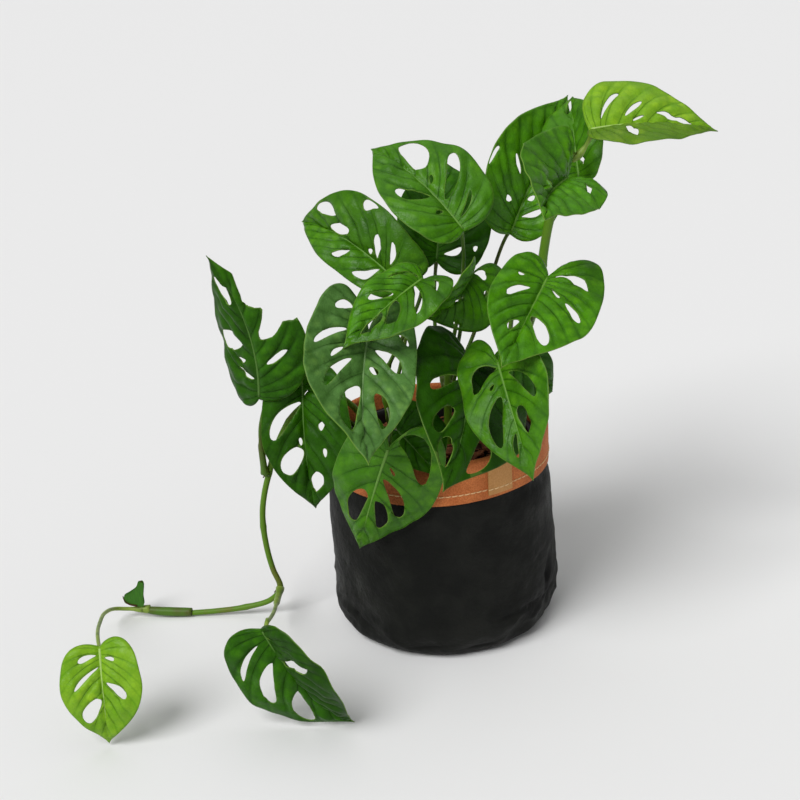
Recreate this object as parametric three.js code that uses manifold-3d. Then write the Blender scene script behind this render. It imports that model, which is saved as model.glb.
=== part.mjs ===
// A Swiss cheese plant (monstera adansonii) in its nursery pot, standing in a soft folded planter bag.
// Millimetres, +Z up, origin at the centre of the bag's flat base, -Y is the front.
import * as THREE from "three";
import { mergeVertices } from "three/addons/utils/BufferGeometryUtils.js";
import Module from "manifold-3d";

const wasm = await Module();
wasm.setup();

// ---- driving dimensions -------------------------------------------------

const GAP = 0.3; // clearance between pieces that touch

const BAG_BASE_RADIUS = 66; // flat spot that the bag stands on
const BAG_RADIUS = 81.5; // widest, just above the rounded bottom edge
const BAG_TOP_RADIUS = 76.6;
const BAG_TOP = 145.5; // the body's raw edge, inside the folded cuff
const BAG_WALL = 1.5;
const CUFF_TOP = 150;
const CUFF_HEM = 120.5; // lower edge of the folded band
const LINING_HEM = 122; // lower edge of the turned-in side
const CUFF_WALL = 1.4;
const BAG_SEGMENTS = 36;
const DENT_DEPTH = 3.2; // soft folds that the bag takes near its bottom edge
const SLACK = 0.9; // gentle waviness of the fabric wall
const LEAN = 2.2; // how far the soft wall bulges towards +x low down

const LABEL_WIDTH = 20;
const LABEL_HEIGHT = 22;
const LABEL_THICK = 1.1;
const LABEL_ANGLE = -60; // degrees from +X, on the front right
const LABEL_FOOT = 123;

const POT_TOP = 139;
const POT_RIM_RADIUS = 69;
const POT_TOP_RADIUS = 66;
const POT_BASE_RADIUS = 52;
const POT_WALL = 1.3;
const SOIL_TOP = 127;
const SOIL_ROUGH = 1.6; // height of the lumps of bark and peat

const BLADE_THICK = 0.9;
const WIDEST = 0.36; // share of its length at which a blade is widest
const PETIOLE_RADIUS = 1.5;
const PETIOLE_SIDES = 6;
const STEM_SIDES = 8;
const STEM_PITCH = 2.8; // length of one straight step of a stem, in radii
const SHEATH_RADIUS = 3.4; // the winged sheath round the vine's growing tip

// The rolled young leaf at the growing tip: its outline seen from the front, from its foot.
const SHOOT_OUTLINE = [
  [-4, 0], [1.2, 0], [1.8, 8], [3.2, 18], [2.2, 20], [-0.6, 19.6], [-3, 15], [-8, 11.5],
  [-12.6, 8.5], [-12, 3.4], [-7.5, 1.6],
];
const SHOOT_FOOT = [-227.5, 8.4];
const SHOOT_THICK = 4.4;
const SHOOT_ROUND = 1;

const LEFT = 0; // the half on the +x side of a blade, left of its midrib when the tip points down
const RIGHT = 1;

// Stems: radius and the points that each one grows through.
const STEMS = {
  stemRight: {
    node: "stem_right",
    radius: 3.5,
    points: [
      [40, 8, 99], [44, 8, 127], [58, 6, 181], [74, 2, 242], [82, 0, 287], [92, -4, 324], [97, -6, 338],
    ],
    colour: "#6f9a3d",
  },
  stemMiddle: {
    node: "stem_middle",
    radius: 3,
    points: [[8, 8, 99], [8, 8, 127], [9, 8, 160], [11, 8, 200]],
    colour: "#4f7a2a",
  },
  stemLeft: {
    node: "stem_left",
    radius: 3,
    points: [[-29, 8, 99], [-30, 7, 127], [-34, 3, 162], [-38, -1, 192]],
    colour: "#4f7a2a",
  },
};

// The trailing vine leaves the soil, hangs over the rim and comes down to the surface,
// where it turns and runs along it. Its joints carry the leaf stalks.
const VINE_RADIUS = 2.3;
const VINE_POINTS = [
  [-46, 18, 99], [-47, 17, 127], [-56, 12, 156], [-76, 5, 173], [-99, 1, 162], [-115, 0, 137],
  [-122, 0, 117], [-127, 0, 100], [-129.5, 0, 86], [-130, 0, 72], [-128.5, 0, 53], [-126, 0, 39],
  [-122, 0, 23], [-130, 1, 13], [-149, 3, 7], [-171, 5, 4], [-190, 6, 3],
];
const JOINT_UPPER = 6; // places in VINE_POINTS
const JOINT_LOWER = 12;

// Leaves. base and tip are the two ends of the midrib; turn rolls the blade about the line
// between them; halves and lobes are the width of each half and how far it reaches back past
// the stalk; droop is how far the midrib curves down from base to tip and fold the rise of each
// half, in degrees; bow is the midrib's sideways sag; cup rounds each half off; wave ripples
// the margin. A hole is [half, place of its vein along the margin, place along that vein,
// half width, half length, lean], all in hundredths.
const LEAVES = [
  {
    name: "leaf_top_right",
    base: [109, -7, 352],
    tip: [198, 11, 342],
    turn: -30, halves: [31, 41], lobes: [4, 1],
    droop: 21, fold: 16, bow: -2, cup: 0.15, wave: 1.2,
    holes: [
      [LEFT, 58, 39, 2.5, 23, -5],
      [RIGHT, 51, 40, 2, 26, 3],
      [RIGHT, 66, 31, 1.5, 17, 1],
      [RIGHT, 71, 11, 1.5, 5, 1],
      [RIGHT, 84, 23, 4.5, 16, -6],
    ],
    stem: "stemRight", at: 0.985,
    colour: "#5f9a3a",
  },
  {
    name: "leaf_top_back",
    base: [105.5, 17, 314.5],
    tip: [108.5, 71, 360.5],
    turn: -32, halves: [27, 27], lobes: [6, 9],
    droop: 32, fold: 24, bow: 1, cup: 0.1, wave: 0.8,
    holes: [
      [LEFT, 54, 18, 4, 11, -10],
      [RIGHT, 91, 31, 4, 24, -2],
    ],
    stem: "stemRight", at: 0.86,
    colour: "#2c5f17",
  },
  {
    name: "leaf_curled_heart",
    base: [92.5, -28, 326],
    tip: [67, -118, 322],
    turn: -19, halves: [38, 36], lobes: [30, 3],
    droop: -22, fold: 32, bow: 5, cup: 0.3, wave: 1.5,
    holes: [
      [LEFT, 70, 24, 3, 9, 0],
      [LEFT, 73, 17, 1.5, 13, 5],
      [RIGHT, 48, 52, 3.5, 10, 4],
    ],
    stem: "stemRight", at: 0.93,
    colour: "#3f7d22",
  },
  {
    name: "leaf_upper_right",
    base: [58, 21, 277],
    tip: [106.5, 78, 360.5],
    turn: 21, halves: [28, 44], lobes: [2, 5],
    droop: 19, fold: 29, bow: -2, cup: 0.1, wave: 1.2,
    holes: [
      [LEFT, 50, 29, 2.5, 20, -1],
      [LEFT, 62, 14, 1.5, 7, -1],
      [LEFT, 90, 28, 1.5, 21, 0],
      [RIGHT, 51, 93, 2.5, 5, -3],
      [RIGHT, 52, 30, 2, 7, -2],
      [RIGHT, 64, 46, 1.5, 15, -1],
    ],
    stem: "stemMiddle", at: 0.8,
    colour: "#3b7a20",
  },
  {
    name: "leaf_upper_middle",
    base: [24, -23, 293],
    tip: [-35, 38, 339],
    turn: 11, halves: [38, 35], lobes: [3, 3],
    droop: 41, fold: 17, bow: 1, cup: 0.2, wave: 1.2,
    holes: [
      [LEFT, 46.6, 28.9, 1.8, 20, 1.6],
      [LEFT, 61.4, 46.1, 3.1, 38.3, -2],
      [LEFT, 72.1, 18.9, 1, 8, -0.1],
      [LEFT, 78.7, 56, 6.5, 38.5, -1.6],
      [RIGHT, 56, 20.6, 1, 7.2, -1.2],
      [RIGHT, 65.3, 43.2, 3.1, 29.4, -2.2],
    ],
    stem: "stemMiddle", at: 0.97,
    colour: "#377320",
  },
  {
    name: "leaf_upper_left",
    base: [-24, 0.5, 256],
    tip: [-88, 68, 282.5],
    turn: -25, halves: [41, 25], lobes: [17, 5],
    droop: 49, fold: 32, bow: 7, cup: 0.45, wave: 1.2,
    holes: [
      [LEFT, 41.6, 41.5, 1.7, 19.8, 0.8],
      [LEFT, 52.4, 84.6, 2.3, 11.3, -3],
      [LEFT, 54.6, 26.4, 2.3, 18.2, -2.3],
      [LEFT, 61, 12, 1.1, 5, -1],
      [LEFT, 77.1, 22.4, 5, 15.2, -3.8],
      [LEFT, 77.7, 73.5, 4.6, 20.5, 1.2],
      [RIGHT, 48.8, 39.7, 3.3, 31.6, -1.6],
      [RIGHT, 66.1, 42.8, 1.6, 23.2, -2.3],
    ],
    stem: "stemLeft", at: 0.72,
    colour: "#33701f",
  },
  {
    name: "leaf_middle_left",
    base: [-5, -42.5, 268.5],
    tip: [-60, -80, 235.5],
    turn: 12, halves: [21, 31], lobes: [3, 10],
    droop: 13, fold: 20, bow: 1, cup: 0.2, wave: 1.2,
    holes: [
      [LEFT, 41, 39, 2.5, 26, 8],
      [LEFT, 67.5, 39.9, 2.8, 27.6, -0.9],
      [RIGHT, 36, 52, 3, 10, 4],
      [RIGHT, 54.4, 39, 3, 35.1, 0.5],
      [RIGHT, 71.2, 38, 4, 31, 0.1],
      [RIGHT, 82.6, 38, 5, 31, 1.8],
    ],
    stem: "stemLeft", at: 0.97,
    colour: "#3f7f24",
  },
  {
    name: "leaf_front_left",
    base: [-42.5, -53, 239],
    tip: [-46.5, -145.5, 182.5],
    turn: -18, halves: [46, 34], lobes: [24, 20],
    droop: -16, fold: 20, bow: 3, cup: 0.0, wave: 1.2,
    holes: [
      [LEFT, 31, 61, 3.4, 12.7, 2.7],
      [LEFT, 45.9, 61.1, 1.5, 23.1, 2],
      [LEFT, 55.6, 45.3, 1.5, 10.3, 1],
      [LEFT, 63.7, 50.9, 2.3, 28, 1.9],
      [LEFT, 79.1, 43.7, 5.7, 39.5, 2.3],
      [RIGHT, 42.2, 73.2, 1.5, 9.5, 1.3],
      [RIGHT, 54.5, 41.4, 3.8, 26.8, -0.3],
      [RIGHT, 65.8, 18.9, 1.5, 8.9, -0.6],
      [RIGHT, 76, 56.1, 4.5, 26.8, 1.3],
    ],
    stem: "stemLeft", at: 0.88,
    colour: "#3b6a31",
  },
  {
    name: "leaf_right_heart",
    base: [77, -40, 264],
    tip: [38, -116, 229],
    turn: 0, halves: [31, 43], lobes: [11, 21],
    droop: 2, fold: 18, bow: 0, cup: 0.2, wave: 1.2,
    holes: [
      [LEFT, 46.6, 51.6, 1.6, 7.5, -0.8],
      [LEFT, 59.2, 42.5, 2.2, 22, 0.5],
      [LEFT, 79.6, 40.2, 2.2, 20.2, -0.2],
      [RIGHT, 38.6, 43.5, 2.9, 28.1, 4.7],
      [RIGHT, 56.1, 22.7, 1.2, 8.8, 1.1],
      [RIGHT, 57.7, 62, 1.8, 18.4, -0],
      [RIGHT, 76.2, 47.4, 2.8, 38, -0.5],
    ],
    stem: "stemRight", at: 0.52,
    colour: "#3f8423",
  },
  {
    name: "leaf_front_right",
    base: [39.5, -69, 217.5],
    tip: [55.5, -125.5, 156.5],
    turn: 34, halves: [30, 37], lobes: [22, 11],
    droop: 47, fold: 18, bow: -4, cup: 0.1, wave: 1.2,
    holes: [
      [LEFT, 46.2, 36.5, 5.7, 30, 2.1],
      [LEFT, 59.7, 23.3, 1.1, 5.7, -0.2],
      [LEFT, 71.6, 48.3, 5.2, 35.9, 2.4],
      [LEFT, 85.9, 35.5, 2, 26, 1],
      [RIGHT, 59.5, 46.3, 3.8, 27.6, 3.1],
      [RIGHT, 76.5, 41.1, 4.4, 23, 0.5],
    ],
    stem: "stemRight", at: 0.22,
    by: [[54, -22, 234]],
    colour: "#356f29",
  },
  {
    name: "leaf_over_cuff",
    base: [-34, -99.5, 174],
    tip: [-58, -75.5, 91],
    turn: -5, halves: [31, 42], lobes: [15, 18],
    droop: 28, fold: -14, bow: 1, cup: 0.25, wave: 1.2,
    holes: [
      [LEFT, 75.7, 41, 7.2, 30.6, 0.7],
      [RIGHT, 33.9, 50.1, 16.2, 24.5, 6.6],
      [RIGHT, 56.7, 15.3, 1.2, 5.5, 1.5],
      [RIGHT, 67.9, 40.3, 3.7, 33.2, 3.3],
      [RIGHT, 78.8, 36.5, 4.2, 29, 2.3],
    ],
    stem: "stemLeft", at: 0.58,
    colour: "#3a7420",
  },
  {
    name: "leaf_front_middle",
    base: [21.5, -34, 212],
    tip: [-1.5, -125, 152],
    turn: -31, halves: [42, 50], lobes: [13, 13],
    droop: 32, fold: 5, bow: -3, cup: 0.2, wave: 2.5,
    holes: [
      [LEFT, 61, 49, 2.5, 30, -1],
      [LEFT, 74, 59, 3.5, 25, 0],
      [LEFT, 85, 65, 5, 28, -1],
      [RIGHT, 80, 69, 6, 24, 1],
    ],
    stem: "stemMiddle", at: 0.62,
    colour: "#356b22",
  },
  {
    name: "leaf_small_twisted",
    base: [29, -15, 262],
    tip: [-4, -28, 235],
    turn: -52, halves: [18, 31], lobes: [6, 13],
    droop: 60, fold: 30, bow: 0, cup: 0.05, wave: 1.0,
    holes: [
      [RIGHT, 32, 22, 9, 15, 3],
      [RIGHT, 50, 44, 1.5, 5, 0],
      [RIGHT, 76, 12, 2, 5, -4],
      [RIGHT, 76, 86, 1.5, 7, -2],
    ],
    stem: "stemMiddle", at: 0.9,
    colour: "#2f6619",
  },
  {
    name: "leaf_back_middle",
    base: [6, 20, 261],
    tip: [18, 85, 317],
    turn: 3, halves: [38, 32], lobes: [10, 9],
    droop: 20, fold: 19, bow: 0, cup: 0.1, wave: 1.2,
    holes: [
      [LEFT, 41, 32, 3.5, 17, 1],
      [LEFT, 41, 76, 1.5, 5, -1],
      [RIGHT, 37, 47, 2.5, 10, 0],
    ],
    stem: "stemMiddle", at: 0.72,
    colour: "#20500f",
  },
  {
    name: "leaf_torn",
    base: [-121.5, -26.5, 184],
    tip: [-145, -40.5, 291.5],
    turn: -40, halves: [38, 34], lobes: [3, 7],
    droop: -8, fold: -13, bow: 10, cup: 0.2, wave: 1.2,
    holes: [
      [LEFT, 59, 38, 1.5, 20, -2],
      [RIGHT, 53, 26, 2, 19, -2],
      [RIGHT, 60, 30, 1.5, 11, -3],
      [RIGHT, 62, 57, 4.5, 31, -7],
      [RIGHT, 86, 51, 3.5, 40, -1],
    ],
    torn: {
      side: LEFT,
      edge: [
        [0.585, 1], [0.6, 0.92], [0.645, 0.78], [0.655, 0.61], [0.665, 0.48], [0.69, 0.31],
        [0.715, 0.24], [0.735, 0.28], [0.74, 0.49], [0.745, 0.64], [0.795, 0.49], [0.825, 0.35],
        [0.84, 0.35], [0.855, 0.49], [0.86, 0.7], [0.865, 0.94], [0.93, 1],
      ],
    },
    stem: "vine", at: "N1",
    by: [[-125, -6, 132], [-124, -12, 156]],
    colour: "#2b6219",
  },
  {
    name: "leaf_low_left",
    base: [-91, -19, 194],
    tip: [-89, -25, 98],
    turn: 14, halves: [30, 39], lobes: [7, 9],
    droop: 45, fold: 21, bow: 0, cup: 0.15, wave: 1.2,
    holes: [
      [LEFT, 57, 40, 5, 37, -1],
      [LEFT, 74, 11, 1.5, 5, -1],
      [LEFT, 75, 46, 4.5, 40, -4],
      [RIGHT, 47, 8, 1.5, 5, -4],
      [RIGHT, 61, 40, 2, 5, -1],
      [RIGHT, 69, 56, 1.5, 5, 0],
      [RIGHT, 84, 51, 5, 23, -3],
    ],
    stem: "vine", at: 0.12,
    colour: "#1e4a10",
  },
  {
    name: "leaf_behind_right",
    base: [49, -41, 216],
    tip: [81, -17.5, 173.5],
    turn: 1, halves: [26, 17], lobes: [7, 7],
    droop: 36, fold: 14, bow: 1, cup: 0.15, wave: 0.8,
    holes: [
    ],
    stem: "stemRight", at: 0.32,
    colour: "#1d4210",
  },
  {
    name: "leaf_vine_tip",
    base: [-226, -144, 67],
    tip: [-226, -156, 2],
    turn: 4, halves: [27, 28], lobes: [2, 6],
    droop: 40, fold: 15, bow: -1, cup: 0.15, wave: 0.8,
    holes: [
      [LEFT, 44, 30, 3.5, 21, 0],
      [LEFT, 60, 36, 1.5, 31, 0],
      [LEFT, 77, 47, 4.5, 40, -2],
      [RIGHT, 47, 23, 2, 12, -1],
      [RIGHT, 66, 42, 2.5, 27, -2],
    ],
    stem: "tip",
    colour: "#5d9a2c",
  },
  {
    name: "leaf_vine_middle",
    base: [-121, -153, 78],
    tip: [-67, -148, 2],
    turn: 54, halves: [42, 38], lobes: [5, 3],
    droop: 35, fold: 23, bow: 1, cup: 0.3, wave: 1.2,
    holes: [
      [LEFT, 47, 48, 2, 31, 2],
      [LEFT, 63, 44, 4, 30, 1],
      [LEFT, 78, 57, 4, 37, 0],
      [RIGHT, 42, 11, 1.5, 5, 2],
      [RIGHT, 60, 37, 3.5, 30, -5],
    ],
    stem: "vine", at: "N2",
    by: [[-123, -20, 24], [-122, -60, 37], [-122, -105, 55]],
    colour: "#2d6418",
  },
  {
    name: "leaf_inner",
    base: [-28, -62, 169.5],
    tip: [-1, -85, 143.5],
    turn: 0, halves: [13, 27], lobes: [8, 12],
    droop: 18, fold: 14, bow: 0, cup: 0.15, wave: 1.0,
    holes: [
    ],
    stem: "stemLeft", at: 0.4,
    colour: "#1e4a0f",
  },
];

// ---- solids -------------------------------------------------------------

// A closed manifold solid from indexed vertices, with its faces pointing out.
function solidFrom(positions, indices) {
  const vertProperties = new Float32Array(positions);
  const build = (tris) => {
    const triVerts = new Uint32Array(tris);
    return new wasm.Manifold(new wasm.Mesh({ numProp: 3, vertProperties, triVerts }));
  };
  const made = build(indices);
  if (made.volume() > 0) return made;
  const turned = [];
  for (let i = 0; i < indices.length; i += 3) {
    turned.push(indices[i], indices[i + 2], indices[i + 1]);
  }
  return build(turned);
}

// The solid of a three.js geometry: shared vertices merged, collapsed triangles dropped.
function solidOf(geometry) {
  const bare = geometry.index ? geometry.toNonIndexed() : geometry.clone();
  for (const name of Object.keys(bare.attributes)) {
    if (name !== "position") bare.deleteAttribute(name);
  }
  const merged = mergeVertices(bare, 1e-3);
  const index = merged.index.array;
  const kept = [];
  for (let i = 0; i < index.length; i += 3) {
    const [a, b, c] = [index[i], index[i + 1], index[i + 2]];
    if (a !== b && b !== c && a !== c) kept.push(a, b, c);
  }
  return solidFrom(merged.attributes.position.array, kept);
}

function geometryOf(solid) {
  const mesh = solid.getMesh();
  const geometry = new THREE.BufferGeometry();
  geometry.setAttribute("position", new THREE.BufferAttribute(mesh.vertProperties, 3));
  geometry.setIndex(new THREE.BufferAttribute(mesh.triVerts, 1));
  geometry.computeVertexNormals();
  return geometry;
}

const plant = new THREE.Group();

function addPiece(name, solid, colour, roughness) {
  const material = new THREE.MeshStandardMaterial({ color: colour, roughness, metalness: 0 });
  const mesh = new THREE.Mesh(geometryOf(solid), material);
  mesh.name = name;
  plant.add(mesh);
}

const vector = ([x, y, z]) => new THREE.Vector3(x, y, z);

// A round rod along a curve.
function rod(curve, radius, sides, steps) {
  const section = new THREE.Shape();
  for (let i = 0; i < sides; i += 1) {
    const angle = (2 * Math.PI * i) / sides;
    const point = [radius * Math.cos(angle), radius * Math.sin(angle)];
    if (i === 0) section.moveTo(...point);
    else section.lineTo(...point);
  }
  section.closePath();
  return solidOf(new THREE.ExtrudeGeometry(section, { steps, extrudePath: curve, bevelEnabled: false }));
}

// A body turned about +Z from its profile of [radius, height] points.
function turned(profile, segments, reshape) {
  const points = profile.map(([radius, height]) => new THREE.Vector2(radius, height));
  const geometry = new THREE.LatheGeometry(points, segments);
  geometry.rotateX(Math.PI / 2);
  if (reshape) {
    const position = geometry.attributes.position;
    const point = new THREE.Vector3();
    for (let i = 0; i < position.count; i += 1) {
      point.fromBufferAttribute(position, i);
      reshape(point);
      position.setXYZ(i, point.x, point.y, point.z);
    }
  }
  return solidOf(geometry);
}

// ---- the planter bag ----------------------------------------------------

const bump = (x) => Math.exp(-x * x);

// How far the soft wall stands out (+) or in (-) from a true round, at an angle and height.
function slackAt(angle, height) {
  const rise = THREE.MathUtils.smoothstep(height, 4, 30);
  const ripple = Math.sin(3 * angle + 0.6) + 0.6 * Math.sin(5 * angle - 0.02 * height);
  const dents = [
    { at: -0.4, height: 18, wide: 0.2, tall: 10, depth: 1.5 },
    { at: -0.95, height: 14, wide: 0.16, tall: 8, depth: 1.1 },
    { at: -2.35, height: 17, wide: 0.2, tall: 9, depth: 1 },
    { at: 1.6, height: 20, wide: 0.2, tall: 9, depth: 1 },
  ];
  let out = SLACK * ripple * rise + LEAN * Math.cos(angle) * bump((height - 38) / 28);
  for (const dent of dents) {
    const turn = Math.atan2(Math.sin(angle - dent.at), Math.cos(angle - dent.at));
    out -= DENT_DEPTH * dent.depth * bump(turn / dent.wide) * bump((height - dent.height) / dent.tall);
  }
  return out;
}

// Moves a point of the bag's wall in or out; the flat base stays.
function slacken(point) {
  const radius = Math.hypot(point.x, point.y);
  if (radius < BAG_BASE_RADIUS - 4) return;
  const grown = (radius + slackAt(Math.atan2(point.y, point.x), point.z)) / radius;
  point.x *= grown;
  point.y *= grown;
}

function addBag() {
  const outer = [
    [0, 0], [BAG_BASE_RADIUS, 0], [73, 2.6], [78.5, 8], [BAG_RADIUS, 17], [BAG_RADIUS + 0.3, 30],
    [BAG_RADIUS, 46], [BAG_RADIUS - 0.4, 68], [BAG_RADIUS - 1, 90], [BAG_RADIUS - 2.5, 108],
    [BAG_TOP_RADIUS, CUFF_HEM - 2], [BAG_TOP_RADIUS, BAG_TOP],
  ];
  const inner = outer
    .slice(1)
    .map(([radius, height]) => [radius - BAG_WALL, Math.max(height, BAG_WALL + height * 0.9)])
    .reverse();
  inner[0][1] = BAG_TOP;
  const body = turned([...outer, ...inner, [0, BAG_WALL]], BAG_SEGMENTS, slacken);
  addPiece("bag_body", body, "#1b1b1c", 0.6);

  const outside = BAG_TOP_RADIUS + 0.4 + GAP;
  const inside = BAG_TOP_RADIUS - BAG_WALL - GAP;
  const band = [
    [outside, CUFF_HEM], [outside + CUFF_WALL, CUFF_HEM], [outside + CUFF_WALL, CUFF_TOP - 4],
    [outside + 0.4, CUFF_TOP - 1], [BAG_TOP_RADIUS - 0.8, CUFF_TOP],
    [inside - CUFF_WALL + 0.6, CUFF_TOP - 1.2],
    [inside - CUFF_WALL, CUFF_TOP - 4], [inside - CUFF_WALL, LINING_HEM], [inside, LINING_HEM],
    [inside, BAG_TOP - 1], [inside + 0.3, BAG_TOP + GAP], [outside - 0.4, BAG_TOP + GAP],
    [outside, BAG_TOP - 1], [outside, CUFF_HEM],
  ];
  addPiece("bag_cuff", turned(band, BAG_SEGMENTS, slacken), "#b96a3c", 0.75);
}

// The sewn tab: a bent plate that follows the cuff's round.
function addLabel() {
  const inner = BAG_TOP_RADIUS + 0.4 + GAP + CUFF_WALL + 2 * SLACK - 0.2;
  const centre = THREE.MathUtils.degToRad(LABEL_ANGLE);
  const half = LABEL_WIDTH / 2 / inner;
  const steps = 4;
  const outline = new THREE.Shape();
  const ring = (radius, order) =>
    order.map((i) => centre + half * ((2 * i) / steps - 1)).map((angle) => {
      const follow = radius + slackAt(angle, LABEL_FOOT + LABEL_HEIGHT / 2) - 2 * SLACK + GAP + 0.35;
      return new THREE.Vector2(follow * Math.cos(angle), follow * Math.sin(angle));
    });
  const order = [0, 1, 2, 3, 4];
  outline.setFromPoints([...ring(inner + LABEL_THICK, order), ...ring(inner, [...order].reverse())]);
  const plate = new THREE.ExtrudeGeometry(outline, { depth: LABEL_HEIGHT, bevelEnabled: false });
  plate.translate(0, 0, LABEL_FOOT);
  addPiece("cuff_label", solidOf(plate), "#c9935f", 0.75);
}

// ---- nursery pot and soil -----------------------------------------------

const potFloor = BAG_WALL + GAP;

function potRadius(height) {
  const share = (height - potFloor) / (POT_TOP - potFloor);
  return POT_BASE_RADIUS + (POT_TOP_RADIUS - POT_BASE_RADIUS) * share;
}

function addNurseryPot() {
  const lip = POT_TOP - 5;
  const floorTop = potFloor + POT_WALL;
  const profile = [
    [0, potFloor], [POT_BASE_RADIUS, potFloor], [potRadius(lip), lip], [POT_RIM_RADIUS, lip],
    [POT_RIM_RADIUS, POT_TOP], [POT_TOP_RADIUS - POT_WALL, POT_TOP],
    [potRadius(floorTop) - POT_WALL, floorTop], [0, floorTop],
  ];
  addPiece("nursery_pot", turned(profile, BAG_SEGMENTS), "#101010", 0.5);
}

// Lumps on the soil: higher and lower bits of bark, flat towards the pot's wall.
function lumps(point) {
  if (point.z < SOIL_TOP - 1) return;
  const radius = Math.hypot(point.x, point.y);
  const edge = 1 - THREE.MathUtils.smoothstep(radius, 48, 62);
  const chop = Math.sin(0.41 * point.x + 1) * Math.cos(0.37 * point.y);
  const swell = 0.7 * Math.sin(0.29 * (point.x - point.y));
  point.z += SOIL_ROUGH * edge * (chop + swell);
}

function addSoil() {
  const foot = potFloor + POT_WALL + GAP;
  const clear = POT_WALL + GAP;
  const rings = [62, 54, 45, 36, 27, 18, 9];
  const profile = [
    [0, foot], [potRadius(foot) - clear, foot], [potRadius(SOIL_TOP) - clear, SOIL_TOP],
    ...rings.map((radius) => [radius, SOIL_TOP]), [0, SOIL_TOP],
  ];
  let soil = turned(profile, 28, lumps);
  for (const stem of grown) {
    const corner = (stem.radius + GAP) / Math.cos(Math.PI / STEM_SIDES);
    soil = soil.subtract(rod(stem.hole, corner, STEM_SIDES, 4));
  }
  addPiece("potting_soil", soil, "#3a2318", 0.95);
}

// ---- stems --------------------------------------------------------------

// The stretch of a stem that stands in the soil, lengthened a little at both ends.
function soilCurve(curve, foot) {
  const points = [vector(foot).addScaledVector(curve.getTangent(0), -GAP)];
  for (let share = 0; points[points.length - 1].z < SOIL_TOP + 6; share += 0.02) {
    points.push(curve.getPointAt(share));
  }
  points.splice(1, 1);
  return new THREE.CatmullRomCurve3(points);
}

const grown = [];
for (const [key, stem] of Object.entries(STEMS)) {
  const curve = new THREE.CatmullRomCurve3(stem.points.map(vector));
  const hole = soilCurve(curve, stem.points[0]);
  grown.push({ key, node: stem.node, radius: stem.radius, curve, hole, colour: stem.colour });
}
const vineCurve = new THREE.CatmullRomCurve3(VINE_POINTS.map(vector));
grown.push({
  key: "vine",
  node: "trailing_vine",
  radius: VINE_RADIUS,
  curve: vineCurve,
  hole: soilCurve(vineCurve, VINE_POINTS[0]),
  colour: "#6d9438",
});

function addStems() {
  for (const stem of grown) {
    const steps = Math.round(stem.curve.getLength() / (stem.radius * STEM_PITCH));
    let solid = rod(stem.curve, stem.radius, STEM_SIDES, steps);
    if (stem.key === "vine") {
      for (const place of [JOINT_UPPER, JOINT_LOWER]) solid = solid.add(aerialRoot(VINE_POINTS[place]));
    }
    addPiece(stem.node, solid, stem.colour, 0.55);
  }
}

// A short dry root at a joint of the vine, pointing down and back.
function aerialRoot(joint) {
  const start = vector(joint);
  const root = new THREE.LineCurve3(start, start.clone().add(new THREE.Vector3(-5, 3, -5)));
  return rod(root, 0.8, 5, 1);
}

// ---- leaf blades --------------------------------------------------------

const FACING = new THREE.Vector3(0, -0.8, 0.6); // towards the light at the front

// The frame of a blade: its origin at the base, y towards the tip, z out of the upper face.
function bladeFrame(leaf) {
  const base = vector(leaf.base);
  const chord = vector(leaf.tip).sub(base);
  const y = chord.clone().normalize();
  const z0 = FACING.clone().addScaledVector(y, -FACING.dot(y)).normalize();
  const x0 = new THREE.Vector3().crossVectors(y, z0);
  const turn = THREE.MathUtils.degToRad(leaf.turn);
  const z = z0.multiplyScalar(Math.cos(turn)).addScaledVector(x0, Math.sin(turn));
  const x = new THREE.Vector3().crossVectors(y, z);
  const droop = THREE.MathUtils.degToRad(leaf.droop || 0.01);
  const length = (chord.length() * (droop / 2)) / Math.sin(droop / 2);
  return { base, x, y, z, droop, length };
}

// The margin of one half, from the stalk round the lobe and along the flank to the tip.
function marginCurves(leaf, length, side) {
  const width = leaf.halves[side];
  const lobe = leaf.lobes[side];
  const widest = WIDEST * length;
  const v2 = (x, y) => new THREE.Vector2(x, y);
  return {
    lobe: new THREE.CubicBezierCurve(
      v2(0, 0), v2(0.35 * width, -1.9 * lobe), v2(width, -1.25 * lobe), v2(width, widest),
    ),
    flank: new THREE.CubicBezierCurve(
      v2(width, widest), v2(width, 0.5 * (widest + length)), v2(0.1 * width, 0.86 * length), v2(0, length),
    ),
  };
}

// Where side vein s (0 at the lobe, 1 at the tip) leaves the midrib.
function veinFoot(length, s) {
  const t = 2 * s;
  return length * (t <= 1 ? 0.1 * t * t : 0.1 + 0.9 * (t - 1) ** 1.5);
}

// The point at share v of side vein s, on the flat blade.
function flatPoint(blade, side, s, v) {
  const foot = new THREE.Vector2(0, veinFoot(blade.length, s));
  const margin = blade.margins[side];
  const end = s <= 0.5 ? margin.lobe.getPoint(2 * s) : margin.flank.getPoint(2 * s - 1);
  const arch = end.clone().sub(foot);
  const middle = foot.clone().add(end).multiplyScalar(0.5);
  middle.x += 0.14 * arch.y;
  middle.y -= 0.14 * arch.x;
  const point = new THREE.QuadraticBezierCurve(foot, middle, end).getPoint(v);
  if (side === RIGHT) point.x = -point.x;
  return point;
}

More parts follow.
